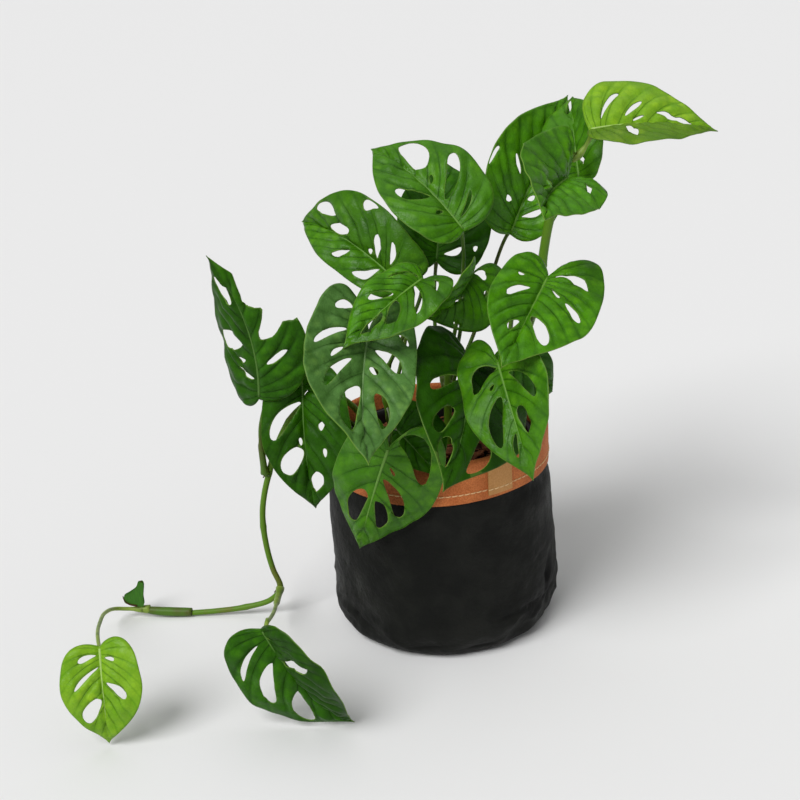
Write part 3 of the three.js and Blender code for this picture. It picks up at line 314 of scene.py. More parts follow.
TORN_EDGE = [  # (s, v) along the tear
    (0.585, 1), (0.6, 0.92), (0.645, 0.78), (0.655, 0.61), (0.665, 0.48), (0.69, 0.31), (0.715, 0.24),
    (0.735, 0.28), (0.74, 0.49), (0.745, 0.64), (0.795, 0.49), (0.825, 0.35), (0.84, 0.35), (0.855, 0.49),
    (0.86, 0.7), (0.865, 0.94), (0.93, 1),
]
LEAVES = [
    Leaf("leaf_top_right", (109, -7, 352), (198, 11, 342), -30, (31, 41), (4, 1), 21, 16, -2, 0.15, 1.2,
         [(58, 39, 2.5, 23, -5)], [(51, 40, 2, 26, 3), (66, 31, 1.5, 17, 1), (71, 11, 1.5, 5, 1),
         (84, 23, 4.5, 16, -6)], "stem_right", 0.985, "young", quilt=0.8, shade=(0.55, 0)),
    Leaf("leaf_top_back", (105.5, 17, 314.5), (108.5, 71, 360.5), -32, (27, 27), (6, 9), 32, 24, 1, 0.1,
         0.8, [(54, 18, 4, 11, -10)], [(91, 31, 4, 24, -2)], "stem_right", 0.86, "green", quilt=0.8),
    Leaf("leaf_curled_heart", (92.5, -28, 326), (67, -118, 322), -19, (38, 36), (30, 3), -22, 32, 5, 0.3,
         1.5, [(70, 24, 3, 9, 0), (73, 17, 1.5, 13, 5)], [(48, 52, 3.5, 10, 4)], "stem_right", 0.93,
         "bright"),
    Leaf("leaf_upper_right", (58, 21, 277), (106.5, 78, 360.5), 21, (28, 44), (2, 5), 19, 29, -2, 0.1, 1.2,
         [(50, 29, 2.5, 20, -1), (62, 14, 1.5, 7, -1), (90, 28, 1.5, 21, 0)], [(51, 93, 2.5, 5, -3),
         (52, 30, 2, 7, -2), (64, 46, 1.5, 15, -1)], "stem_middle", 0.8, "bright"),
    Leaf("leaf_upper_middle", (24, -23, 293), (-35, 38, 339), 11, (38, 35), (3, 3), 41, 17, 1, 0.2, 1.2,
         [(46.6, 28.9, 1.8, 20, 1.6), (61.4, 46.1, 3.1, 38.3, -2), (72.1, 18.9, 1, 8, -0.1),
         (78.7, 56, 6.5, 38.5, -1.6)], [(56, 20.6, 1, 7.2, -1.2), (65.3, 43.2, 3.1, 29.4, -2.2)],
         "stem_middle", 0.97, "green"),
    Leaf("leaf_upper_left", (-24, 0.5, 256), (-88, 68, 282.5), -25, (41, 25), (17, 5), 49, 32, 7, 0.45, 1.2,
         [(41.6, 41.5, 1.7, 19.8, 0.8), (52.4, 84.6, 2.3, 11.3, -3), (54.6, 26.4, 2.3, 18.2, -2.3),
         (61, 12, 1.1, 5, -1), (77.1, 22.4, 5, 15.2, -3.8), (77.7, 73.5, 4.6, 20.5, 1.2)],
         [(48.8, 39.7, 3.3, 31.6, -1.6), (66.1, 42.8, 1.6, 23.2, -2.3)], "stem_left", 0.72, "green",
         shade=(0.2, 0)),
    Leaf("leaf_middle_left", (-5, -42.5, 268.5), (-60, -80, 235.5), 12, (21, 31), (3, 10), 13, 20, 1, 0.2,
         1.2, [(41, 39, 2.5, 26, 8), (67.5, 39.9, 2.8, 27.6, -0.9)], [(36, 52, 3, 10, 4),
         (54.4, 39, 3, 35.1, 0.5), (71.2, 38, 4, 31, 0.1), (82.6, 38, 5, 31, 1.8)], "stem_left", 0.97,
         "bright", shade=(0, 0.3)),
    Leaf("leaf_front_left", (-42.5, -53, 239), (-46.5, -145.5, 182.5), -18, (46, 34), (24, 20), -16, 20, 3,
         0.0, 1.2, [(31, 61, 3.4, 12.7, 2.7), (45.9, 61.1, 1.5, 23.1, 2), (55.6, 45.3, 1.5, 10.3, 1),
         (63.7, 50.9, 2.3, 28, 1.9), (79.1, 43.7, 5.7, 39.5, 2.3)], [(42.2, 73.2, 1.5, 9.5, 1.3),
         (54.5, 41.4, 3.8, 26.8, -0.3), (65.8, 18.9, 1.5, 8.9, -0.6), (76, 56.1, 4.5, 26.8, 1.3)],
         "stem_left", 0.88, "grey_sheen", quilt=0.8),
    Leaf("leaf_right_heart", (77, -40, 264), (38, -116, 229), 0, (31, 43), (11, 21), 2, 18, 0, 0.2, 1.2,
         [(46.6, 51.6, 1.6, 7.5, -0.8), (59.2, 42.5, 2.2, 22, 0.5), (79.6, 40.2, 2.2, 20.2, -0.2)],
         [(38.6, 43.5, 2.9, 28.1, 4.7), (56.1, 22.7, 1.2, 8.8, 1.1), (57.7, 62, 1.8, 18.4, 0),
         (76.2, 47.4, 2.8, 38, -0.5)], "stem_right", 0.52, "bright"),
    Leaf("leaf_front_right", (39.5, -69, 217.5), (55.5, -125.5, 156.5), 34, (30, 37), (22, 11), 47, 18, -4,
         0.1, 1.2, [(46.2, 36.5, 5.7, 30, 2.1), (59.7, 23.3, 1.1, 5.7, -0.2), (71.6, 48.3, 5.2, 35.9, 2.4),
         (85.9, 35.5, 2, 26, 1)], [(59.5, 46.3, 3.8, 27.6, 3.1), (76.5, 41.1, 4.4, 23, 0.5)], "stem_right",
         0.22, "green", by=[(54, -22, 234)], quilt=0.45, shade=(0.15, 0)),
    Leaf("leaf_over_cuff", (-34, -99.5, 174), (-58, -75.5, 91), -5, (31, 42), (15, 18), 28, -14, 1, 0.25,
         1.2, [(75.7, 41, 7.2, 30.6, 0.7)], [(33.9, 50.1, 16.2, 24.5, 6.6), (56.7, 15.3, 1.2, 5.5, 1.5),
         (67.9, 40.3, 3.7, 33.2, 3.3), (78.8, 36.5, 4.2, 29, 2.3)], "stem_left", 0.58, "green", quilt=0.8),
    Leaf("leaf_front_middle", (21.5, -34, 212), (-1.5, -125, 152), -31, (42, 50), (13, 13), 32, 5, -3, 0.2,
         2.5, [(61, 49, 2.5, 30, -1), (74, 59, 3.5, 25, 0), (85, 65, 5, 28, -1)], [(80, 69, 6, 24, 1)],
         "stem_middle", 0.62, "dark", quilt=0.7, shade=(0.4, 0.45)),
    Leaf("leaf_small_twisted", (29, -15, 262), (-4, -28, 235), -52, (18, 31), (6, 13), 60, 30, 0, 0.05, 1.0,
         [], [(32, 22, 9, 15, 3), (50, 44, 1.5, 5, 0), (76, 12, 2, 5, -4), (76, 86, 1.5, 7, -2)],
         "stem_middle", 0.9, "bright", shade=(0, 0.2)),
    Leaf("leaf_back_middle", (6, 20, 261), (18, 85, 317), 3, (38, 32), (10, 9), 20, 19, 0, 0.1, 1.2,
         [(41, 32, 3.5, 17, 1), (41, 76, 1.5, 5, -1)], [(37, 47, 2.5, 10, 0)], "stem_middle", 0.72, "dark"),
    Leaf("leaf_torn", (-121.5, -26.5, 184), (-145, -40.5, 291.5), -40, (38, 34), (3, 7), -8, -13, 10, 0.2,
         1.2, [(59, 38, 1.5, 20, -2)], [(53, 26, 2, 19, -2), (60, 30, 1.5, 11, -3), (62, 57, 4.5, 31, -7),
         (86, 51, 3.5, 40, -1)], "trailing_vine", "N1", "dark", by=[(-125, -6, 132), (-124, -12, 156)],
         torn=TORN_EDGE, shade=(0, 0.3)),
    Leaf("leaf_low_left", (-91, -19, 194), (-89, -25, 98), 14, (30, 39), (7, 9), 45, 21, 0, 0.15, 1.2,
         [(57, 40, 5, 37, -1), (74, 11, 1.5, 5, -1), (75, 46, 4.5, 40, -4)], [(47, 8, 1.5, 5, -4),
         (61, 40, 2, 5, -1), (69, 56, 1.5, 5, 0), (84, 51, 5, 23, -3)], "trailing_vine", 0.12, "dark",
         shade=(0.25, 0.2)),
    Leaf("leaf_behind_right", (49, -41, 216), (81, -17.5, 173.5), 1, (26, 17), (7, 7), 36, 14, 1, 0.15, 0.8,
         [], [], "stem_right", 0.32, "dark"),
    Leaf("leaf_vine_tip", (-226, -144, 67), (-226, -156, 2), 4, (27, 28), (2, 6), 40, 15, -1, 0.15, 0.8,
         [(44, 30, 3.5, 21, 0), (60, 36, 1.5, 31, 0), (77, 47, 4.5, 40, -2)], [(47, 23, 2, 12, -1),
         (66, 42, 2.5, 27, -2)], "trailing_vine", "tip", "young"),
    Leaf("leaf_vine_middle", (-121, -153, 78), (-67, -148, 2), 54, (42, 38), (5, 3), 35, 23, 1, 0.3, 1.2,
         [(47, 48, 2, 31, 2), (63, 44, 4, 30, 1), (78, 57, 4, 37, 0)], [(42, 11, 1.5, 5, 2),
         (60, 37, 3.5, 30, -5)], "trailing_vine", "N2", "dark",
         by=[(-123, -20, 24), (-122, -60, 37), (-122, -105, 55)], shade=(0, 0.5)),
    Leaf("leaf_inner", (-28, -62, 169.5), (-1, -85, 143.5), 0, (13, 27), (8, 12), 18, 14, 0, 0.15, 1.0,
         [], [], "stem_left", 0.4, "dark"),
]
print(len(LEAVES), "leaves,", sum(len(leaf.holes) for leaf in LEAVES), "holes")

# %% [markdown]
# ## From veins to a flat blade
# Two Bezier curves draw the margin of a half: one round the lobe, one along the flank to the tip. A side
# vein is a shallow arch from the midrib to the margin.

# %% The flat blade


def bezier(points, t):
    """Points of a Bezier curve of any degree at the shares t."""
    degree = len(points) - 1
    t = np.asarray(t, float)[:, None]
    return sum(math.comb(degree, i) * t**i * (1 - t) ** (degree - i) * np.array(p, float)
               for i, p in enumerate(points))


def margin_points(leaf, side, s):
    """The margin of one half at places s, on the flat blade, with x counted away from the midrib."""
    width, lobe, length = leaf.halves[side], leaf.lobes[side], leaf.length
    widest = WIDEST * length
    t = 2 * np.asarray(s, float)
    shoulder, beyond = (width, widest), (width, widest + 0.5 * (length - widest))
    round_lobe = [(0, 0), (0.35 * width, -1.9 * lobe), (width, -1.25 * lobe), shoulder]
    flank = [shoulder, beyond, (0.1 * width, 0.86 * length), (0, length)]
    in_lobe, in_flank = bezier(round_lobe, np.minimum(t, 1)), bezier(flank, np.maximum(t - 1, 0))
    return np.where(t[:, None] <= 1, in_lobe, in_flank)


def vein_foot(leaf, s):
    """Where side vein s leaves the midrib."""
    t = 2 * np.asarray(s, float)
    return leaf.length * np.where(t <= 1, 0.1 * t * t, 0.1 + 0.9 * np.maximum(t - 1, 0) ** 1.5)
VEIN_ARCH = 0.14  # how far a vein stands out from a straight line, as a share of its length

def flat_points(leaf, side, s, v):
    """Flat places of the points (s, v) of one half."""
    s, v = np.asarray(s, float), np.asarray(v, float)[:, None]
    foot = np.stack([np.zeros_like(s), vein_foot(leaf, s)], 1)
    end = margin_points(leaf, side, s)
    span = end - foot
    middle = (foot + end) / 2 + VEIN_ARCH * np.stack([span[:, 1], -span[:, 0]], 1)
    point = foot * (1 - v) ** 2 + 2 * middle * v * (1 - v) + end * v**2
    if side == RIGHT:
        point = point * (-1, 1)
    return point


# %% [markdown]
# ## Bending the blade
# A living blade isn't flat: each half rises from the midrib like the wings of a bird, rounds off towards
# the margin and ripples a little, and the midrib droops towards the tip.

# %% Bend


def bend(leaf, flat):
    """Flat points of a blade, bent into place."""
    x, y = flat[:, 0], flat[:, 1]
    sign = np.where(x >= 0, 1.0, -1.0)
    width = np.where(x >= 0, leaf.halves[LEFT], leaf.halves[RIGHT])
    across = np.abs(x) / width
    q = y / leaf.length
    ripple = leaf.wave * np.sin(5 * np.pi * q + sign) * across**2
    rise = np.abs(x) * math.sin(leaf.fold) - 0.5 * leaf.cup * across**2 * width + ripple
    along = np.clip(q, 0, 1)
    sideways = x * math.cos(leaf.fold) + 4 * leaf.bow * along * (1 - along)
    radius = leaf.length / leaf.droop
    angle = q * leaf.droop
    forward = radius * np.sin(angle) + rise * np.sin(angle)
    up = radius * (np.cos(angle) - 1) + rise * np.cos(angle)
    half = leaf.droop / 2
    level = forward * math.cos(half) - up * math.sin(half)
    height = forward * math.sin(half) + up * math.cos(half)
    return leaf.base + np.outer(sideways, leaf.x) + np.outer(level, leaf.y) + np.outer(height, leaf.z)


def blade_normals(leaf, flat):
    """The direction of the upper face at the flat points, from small steps along and across."""
    step = 0.05
    over_x = bend(leaf, flat + (step, 0)) - bend(leaf, flat - (step, 0))
    over_y = bend(leaf, flat + (0, step)) - bend(leaf, flat - (0, step))
    normals = np.cross(over_x, over_y)
    return normals / np.linalg.norm(normals, axis=1)[:, None]


# %% [markdown]
# ## Veins between the holes
# The holes of this plant open between the side veins, never across one. So the veins are placed from the
# holes: one beside each group, and more where a stretch between groups is wide. Between two veins the
# blade bulges like a cushion, which gives the quilted look, so we also work out each point's height.

# %% Veins and quilting
HOLE_CLEARANCE = 1.2  # percent of the margin between a hole and the vein beside it
FIRST_VEIN, LAST_VEIN = 0.04, 0.97
GROUP_GAP = 0.09  # groups of holes further apart than this have a vein each between them
LEAST_GAP = 0.035  # veins closer than this are one
LOBE_END, LOBE_GAP, FLANK_GAP = 0.25, 0.11, 0.07  # how far apart veins stand in the lobe and beyond it


def vein_places(leaf, side):
    """Places s of the side veins of one half, from the lobe to the tip."""
    spans = sorted(((h[1] - h[3] - HOLE_CLEARANCE) / 100, (h[1] + h[3] + HOLE_CLEARANCE) / 100)
                   for h in leaf.holes if h[0] == side)
    groups = []
    for low, high in spans:
        if groups and low < groups[-1][1]:
            groups[-1][1] = max(groups[-1][1], high)
        else:
            groups.append([low, high])
    marks = [FIRST_VEIN]
    for i, (low, _) in enumerate(groups):
        before = groups[i - 1][1] if i else marks[0]
        if low - before > GROUP_GAP:
            marks += [before, low] if i else [low]
        else:
            marks.append((low + before) / 2)
    marks += [groups[-1][1]] if groups and groups[-1][1] < 0.9 else []
    marks.append(LAST_VEIN)
    places = [marks[0]]
    for mark in marks[1:]:
        start = places[-1]
        wide = mark - start
        if wide < LEAST_GAP:
            continue
        at_holes = any(start >= low - 0.01 and mark <= high + 0.01 for low, high in groups)
        usual = LOBE_GAP if start < LOBE_END else FLANK_GAP
        cuts = 1 if at_holes else max(1, round(wide / usual))
        places += [start + wide * (k + 1) / cuts for k in range(cuts)]
    return np.array(places)


def vein_count(places, s):
    """Counts veins along the margin: a whole number at a vein, a fraction between two."""
    return np.interp(s, places, np.arange(len(places), dtype=float))


def vein_spacing(leaf, side, s, v):
    """Millimetres from vein to vein at every point of one half."""
    places = vein_places(leaf, side)
    low, high = np.clip(s - 0.01, 0, 1), np.clip(s + 0.01, 0, 1)
    reach = np.maximum(v, 0.15)
    travel = np.hypot(*(flat_points(leaf, side, high, reach) - flat_points(leaf, side, low, reach)).T)
    counted = np.maximum(vein_count(places, high) - vein_count(places, low), 0.01)
    return np.minimum(travel / counted, 60)


QUILT = 0.25  # height of a bulge as a share of the distance between veins
QUILT_LIMIT = 2.4
GROOVE_DEPTH, GROOVE_WIDTH = 0.6, 1.3  # of the groove over the midrib
DENTS_COARSE, DENTS_FINE = (0.09, 0, 1.5), (0.18, 9, 0.9)  # how close together, a seed and the height


def dents(leaf, flat, often, seed, height):
    """Soft random bumps at the flat points."""
    depth = leaf.length + seed
    return height * np.array([noise.noise(Vector((x * often, y * often, depth))) for x, y in flat])


def relief(leaf, side, s, v, flat):
    """How far the face stands above the smooth blade."""
    count = vein_count(vein_places(leaf, side), s)
    from_vein = np.abs(2 * (count - np.floor(count)) - 1)
    cushion = (1 - from_vein**2.6) * np.minimum(QUILT * vein_spacing(leaf, side, s, v), QUILT_LIMIT)
    fade = ease(0, 0.14, v) * (1 - ease(0.62, 1, v))
    groove = np.exp(-((np.abs(flat[:, 0]) / GROOVE_WIDTH) ** 2)) * (1 - ease(0.85, 1.0, s))
    bumps = dents(leaf, flat, *DENTS_COARSE) * ease(0, 0.3, v) + dents(leaf, flat, *DENTS_FINE) * fade
    return leaf.quilt * cushion * fade + bumps - GROOVE_DEPTH * groove


# %% [markdown]
# ## Filling the outline
# No primitive has a leaf's outline with its holes, so we scatter points over the flat blade, evenly and a
# little denser along every cut edge, and let Blender's Delaunay fill join them into well-shaped triangles.
# A thin ring of points just inside each edge lets the pale rim of the leaf be painted sharply.

# %% Scatter and fill
POINT_GAP = 1.75
RIM_WIDTH = 0.35
HOLE_POINTS, MARGIN_POINTS, TORN_MARGIN_POINTS, MIDRIB_POINTS = 28, 76, 44, 70
ROWS = 74  # of inner points, each along one line from the midrib to the margin
EDGE_GAP, HOLE_GAP, MIDRIB_GAP, RING_GAP = 0.25, 0.15, 0.3, 0.4  # least distances from point to point


def hole_outline(hole, grow=0.0):
    """The (s, v) places round a hole, pushed out by a share of its size."""
    _, place, along, half_width, half_length, lean = hole
    angle = math.tau * (np.arange(HOLE_POINTS) + 0.5) / HOLE_POINTS
    scale = 1 + grow
    aside = half_width * np.cos(angle) * (1 + 0.25 * np.sin(angle))
    s = (place + scale * (aside + lean * np.sin(angle))) / 100
    v = (along + scale * half_length * np.sin(angle)) / 100
    return s, v


def inside(polygon, points):
    """Which points lie inside a closed polygon."""
    result = np.zeros(len(points), bool)
    for (ax, ay), (bx, by) in zip(polygon, np.roll(polygon, -1, 0)):
        crosses = (ay > points[:, 1]) != (by > points[:, 1])
        with np.errstate(divide="ignore", invalid="ignore"):
            where = (bx - ax) * (points[:, 1] - ay) / (by - ay) + ax
        result ^= crosses & (points[:, 0] < where)
    return result


def torn_path(leaf):
    """The ragged edge left by a tear, in (s, v) places, ending at the tip."""
    marks = np.array(leaf.torn + [(1.0, 1.0)], float)
    share = np.linspace(0, len(marks) - 1, 6 * len(marks))
    s = np.interp(share, range(len(marks)), marks[:, 0])
    v = np.interp(share, range(len(marks)), marks[:, 1])
    ragged = np.array([noise.noise(Vector((6.0 * t, 1.5, 0))) for t in share])
    ragged *= np.sin(np.pi * share / share[-1])
    return s, np.clip(v + 0.02 * ragged, 0.02, 1)


def margin_path(leaf, side):
    """The (s, v) places along the edge of one half."""
    if leaf.torn and side == LEFT:
        s = np.linspace(0, leaf.torn[0][0], TORN_MARGIN_POINTS)
        edge_s, edge_v = torn_path(leaf)
        return np.append(s[:-1], edge_s), np.append(np.ones(len(s) - 1), edge_v)
    return np.linspace(0, 1, MARGIN_POINTS), np.ones(MARGIN_POINTS)


def reach_of(leaf, side, s, v):
    """Millimetres from the midrib to the points (s, v)."""
    return np.hypot(*(flat_points(leaf, side, s, v) - flat_points(leaf, side, s, np.zeros(len(v)))).T)


class Cloud:
    """Points of the blade with their places, kept apart from each other."""

    CELL = 2  # size of a square in the grid that finds near points

    def __init__(self, leaf):
        self.leaf = leaf
        self.flat, self.s, self.v, self.side, self.rim = [], [], [], [], []
        self.grid = {}

    def add(self, side, s, v, rim, gap):
        """Adds points, each unless one stands within the gap, and returns their numbers."""
        numbers = []
        for point, *place in zip(flat_points(self.leaf, side, s, v), s, v):
            column, row = int(point[0] // self.CELL), int(point[1] // self.CELL)
            near = [n for dx in (-1, 0, 1) for dy in (-1, 0, 1)
                    for n in self.grid.get((column + dx, row + dy), ())]
            close = [n for n in near if np.hypot(*(self.flat[n] - point)) < gap]
            numbers.append(close[0] if close else len(self.flat))
            if not close:
                self.grid.setdefault((column, row), []).append(len(self.flat))
                self.store(point, *place, side, rim)
        return numbers

    def store(self, *values):
        for column, value in zip((self.flat, self.s, self.v, self.side, self.rim), values):
            column.append(value)

    def copy_nearest(self, place):
        """Adds a point where two edges cross, with the values of its nearest neighbour."""
        n = int(np.argmin(np.hypot(*(np.array(self.flat) - place[:]).T)))
        self.store(np.array(place[:]), self.s[n], self.v[n], self.side[n], self.rim[n])
        return len(self.flat) - 1


def chain(numbers, closed=False):
    """The edges that join numbered points one after another."""
    pairs = list(zip(numbers, numbers[1:])) + ([(numbers[-1], numbers[0])] if closed else [])
    return [pair for pair in pairs if pair[0] != pair[1]]


def fill_blade(leaf):
    """Returns the point cloud of a blade and its triangles."""
    cloud = Cloud(leaf)
    edges, polygons, outline = [], [], []
    for side in (LEFT, RIGHT):
        s, v = margin_path(leaf, side)
        numbers = cloud.add(side, s, v, 1.0, EDGE_GAP)
        edges += chain(numbers)
        outline += numbers if side == LEFT else numbers[::-1]
    for hole in leaf.holes:
        numbers = cloud.add(hole[0], *hole_outline(hole), 1.0, HOLE_GAP)
        edges += chain(numbers, closed=True)
        polygons.append(np.array([cloud.flat[n] for n in numbers]))
    midrib = np.linspace(0, 1, MIDRIB_POINTS)
    edges += chain(cloud.add(LEFT, midrib, np.zeros(MIDRIB_POINTS), 0.0, MIDRIB_GAP))
    border = np.array([cloud.flat[n] for n in outline])
    for side in (LEFT, RIGHT):
        s, v = margin_path(leaf, side)
        length = reach_of(leaf, side, s, v)
        keep = length > 4
        inner = v * (1 - RIM_WIDTH / np.maximum(length, 1))
        cloud.add(side, s[keep], inner[keep], 0.0, RING_GAP)
    for hole in leaf.holes:
        reach = flat_points(leaf, hole[0], *hole_outline(hole))
        size = np.hypot(*(reach - reach.mean(0)).T).mean()
        cloud.add(hole[0], *hole_outline(hole, RIM_WIDTH / size), 0.0, RING_GAP)
    for side in (LEFT, RIGHT):
        for s in np.linspace(0.012, 0.99, ROWS):
            cuts = max(2, int(reach_of(leaf, side, [s], [1.0])[0] / POINT_GAP))
            cloud.add(side, np.full(cuts - 1, s), np.arange(1, cuts) / cuts, 0.0, 0.8 * POINT_GAP)
    filled = delaunay_2d_cdt([Vector(point) for point in cloud.flat], edges, [], 0, 1e-5)
    places, faces, origins = filled[0], filled[2], filled[3]
    source = [ids[0] if ids else cloud.copy_nearest(place) for place, ids in zip(places, origins)]
    middles = np.array([np.mean([places[i][:] for i in face], axis=0) for face in faces])
    wanted = inside(border, middles)
    for polygon in polygons:
        wanted &= ~inside(polygon, middles)
    kept = [[source[i] for i in face] for face, good in zip(faces, wanted) if good]
    return cloud, np.array(cloud.flat), [face for face in kept if len(set(face)) == 3]


# %% [markdown]
# ## The blade as a mesh
# The triangles are laid out on the bent surface, lifted by the quilting, and thickened with a Solidify
# modifier. Solidify can give the underside and the cut edges materials of their own: the underside of this
# leaf is paler and duller, and every cut edge has a thin pale rim.

# %% Blade mesh
BLADE_THICK = 0.6
COUNT_OFFSET = 20  # keeps the vein counts of the two halves apart


def blade_mesh(leaf):
    """The blade of a leaf, with the numbers that its finish reads stored on it."""
    cloud, flat, triangles = fill_blade(leaf)
    s, v, side = np.array(cloud.s), np.array(cloud.v), np.array(cloud.side)

    def on_both(measure, *more):
        return np.where(side == LEFT, *(measure(leaf, half, s, v, *more) for half in (LEFT, RIGHT)))

    points = bend(leaf, flat) + blade_normals(leaf, flat) * on_both(relief, flat)[:, None]
    if points[:, 2].min() < 3:  # this leaf lies on the surface
        points[:, 2] = np.maximum(points[:, 2], BLADE_THICK / 2 + 0.1)
    counts = [vein_count(vein_places(leaf, half), s) for half in (LEFT, RIGHT)]
    bm = bmesh.new()
    veins = bm.loops.layers.uv.new("veins")
    layers = [bm.verts.layers.float.new(name) for name in ("rim", "across", "spacing", "shade")]
    corners = [bm.verts.new(p) for p in points]
    halves = [LEFT if x > 0 else RIGHT for x in flat[:, 0]]
    # The painted shade of each half, which the face's finish reads.
    shades = [leaf.shade[half] for half in halves]
    for corner, *numbers in zip(corners, cloud.rim, np.abs(flat[:, 0]), on_both(vein_spacing), shades):
        for layer, number in zip(layers, numbers):
            corner[layer] = number
    for a, b, c in triangles:
        area = np.cross(flat[b] - flat[a], flat[c] - flat[a])
        if abs(area) < 1e-6:
            continue
        order = (a, b, c) if area > 0 else (a, c, b)
        face = bm.faces.new([corners[n] for n in order])
        half = LEFT if flat[list(order), 0].mean() > 0 else RIGHT
        for loop, n in zip(face.loops, order):
            loop[veins].uv = (counts[half][n] + COUNT_OFFSET * half, v[n])
    bmesh.ops.delete(bm, geom=[corner for corner in bm.verts if not corner.link_faces], context="VERTS")
    sheet = put_in_scene(leaf.name, stored(leaf.name, bm))
    for _ in range(3):  # face, underside and rim, so that Solidify can tell them apart
        sheet.data.materials.append(None)
    wall = sheet.modifiers.new("thickness", "SOLIDIFY")
    wall.thickness, wall.offset = BLADE_THICK, 0
    wall.material_offset, wall.material_offset_rim = 1, 2
    bpy.context.view_layer.update()
    solid = bpy.data.meshes.new_from_object(sheet.evaluated_get(bpy.context.evaluated_depsgraph_get()))
    bpy.data.objects.remove(sheet)
    return solid


# %% [markdown]
# ## Stems and stalks
# A stem is a round section carried along a curve. We draw one ring and extrude it step by step, turning it
# with the curve each time, so it never twists, and change its radius where the plant has a joint.

# %% Curves and tubes


class Path:
    """A smooth line through points, measured along its length."""

    def __init__(self, points, smooth=True, per_span=16):
        points = [np.array(p, float) for p in points]
        if smooth:
            ends = [2 * points[0] - points[1]] + points + [2 * points[-1] - points[-2]]
            line = [points[0]]
            for i in range(len(points) - 1):
                line += [self.span(ends[i:i + 4], k / per_span) for k in range(1, per_span + 1)]
            points = line
        self.points = np.array(points)
        steps = np.linalg.norm(np.diff(self.points, axis=0), axis=1)
        self.travel = np.concatenate([[0], np.cumsum(steps)])
        self.length = float(self.travel[-1])

    @staticmethod
    def span(p, t):
        """One stretch of a centripetal Catmull-Rom curve."""
        gaps = [max(float(np.linalg.norm(p[i + 1] - p[i])) ** 0.5, 1e-4) for i in range(3)]
        start = (p[1] - p[0]) / gaps[0] - (p[2] - p[0]) / (gaps[0] + gaps[1]) + (p[2] - p[1]) / gaps[1]
        end = (p[2] - p[1]) / gaps[1] - (p[3] - p[1]) / (gaps[1] + gaps[2]) + (p[3] - p[2]) / gaps[2]
        start, end = start * gaps[1], end * gaps[1]
        bend_two = -3 * p[1] + 3 * p[2] - 2 * start - end
        bend_three = 2 * p[1] - 2 * p[2] + start + end
        return p[1] + start * t + bend_two * t * t + bend_three * t**3

    def at(self, share):
        return np.array([np.interp(share * self.length, self.travel, self.points[:, i]) for i in range(3)])

    def tangent(self, share):
        step = self.at(min(1, share + 0.002)) - self.at(max(0, share - 0.002))
        return step / np.linalg.norm(step)


def tube(bm, path, radii, sides=12, step=2.5, material=0):
    """Extrudes a ring along a path. radii gives the radius at each share of the length."""
    shares = np.linspace(0, 1, max(3, int(path.length / step)) + 1)
    before = len(bm.faces)
    centre, forward, old_radius = Vector(path.at(0)), Vector(path.tangent(0)), float(radii(0))
    turn = Vector((0, 0, 1)).rotation_difference(forward)
    ring = bmesh.ops.create_circle(bm, cap_ends=True, segments=sides, radius=old_radius)["verts"]
    bmesh.ops.transform(bm, verts=ring, matrix=Matrix.Translation(centre) @ turn.to_matrix().to_4x4())
    edges = list({edge for vert in ring for edge in vert.link_edges})
    for share in shares[1:]:
        made = bmesh.ops.extrude_edge_only(bm, edges=edges)["geom"]
        ring = [item for item in made if isinstance(item, bmesh.types.BMVert)]
        edges = [item for item in made if isinstance(item, bmesh.types.BMEdge)
                 and item.verts[0] in ring and item.verts[1] in ring]
        new_centre, new_forward = Vector(path.at(share)), Vector(path.tangent(share))
        radius = float(radii(share))
        turn = forward.rotation_difference(new_forward).to_matrix().to_4x4()
        grow = Matrix.Scale(radius / old_radius, 4)
        move = Matrix.Translation(new_centre) @ turn @ grow @ Matrix.Translation(-centre)
        bmesh.ops.transform(bm, verts=ring, matrix=move)
        centre, forward, old_radius = new_centre, new_forward, radius
    bmesh.ops.contextual_create(bm, geom=edges)
    fresh = list(bm.faces)[before:]
    bmesh.ops.recalc_face_normals(bm, faces=fresh)
    for face in fresh:
        face.material_index = material


def taper(radius, loss):
    """The radii of a tube that loses a share of its radius on the way."""
    return lambda share: radius * (1 - loss * share)


# %% [markdown]
# ## Where the stems run
# Three stems rise from the soil among the leaves. The fourth is the trailing vine: it hangs over the cuff,
# comes down to the surface and runs along it, with a joint at each place where a stalk leaves it.

# %% Stem routes
STEM_POINTS = {
    "stem_right": [(40, 8, 99), (44, 8, 127), (58, 6, 181), (74, 2, 242), (82, 0, 287), (92, -4, 324),
                   (97, -6, 338)],
    "stem_middle": [(8, 8, 99), (8, 8, 127), (9, 8, 160), (11, 8, 200)],
    "stem_left": [(-29, 8, 99), (-30, 7, 127), (-34, 3, 162), (-38, -1, 192)],
    "trailing_vine": [
        (-46, 18, 99), (-47, 17, 127), (-56, 12, 156), (-76, 5, 173), (-99, 1, 162), (-115, 0, 137),
        (-122, 0, 117), (-127, 0, 100), (-129.5, 0, 86), (-130, 0, 72), (-128.5, 0, 53), (-126, 0, 39),
        (-122, 0, 23), (-130, 1, 13), (-149, 3, 7), (-171, 5, 4), (-190, 6, 3),
    ],
}
STEM_RADII = {"stem_right": 3.5, "stem_middle": 3.0, "stem_left": 3.0, "trailing_vine": 2.3}
JOINTS = {"N1": 6, "N2": 12}  # places along the vine's points
TIP_STALK = [(-222, 9, 6.6), (-239, 9, 8), (-247, 3, 12), (-249, -20, 22), (-244, -60, 37), (-235, -108, 55)]
STALK_RADIUS = 1.5
CLEARANCE = 0.3
STALK_LEAN = 0.83  # a stalk leaves its stem at a steep angle
SEAT = 0.05  # share of the midrib's length at which the stalk meets it

stem_paths = {name: Path(points) for name, points in STEM_POINTS.items()}


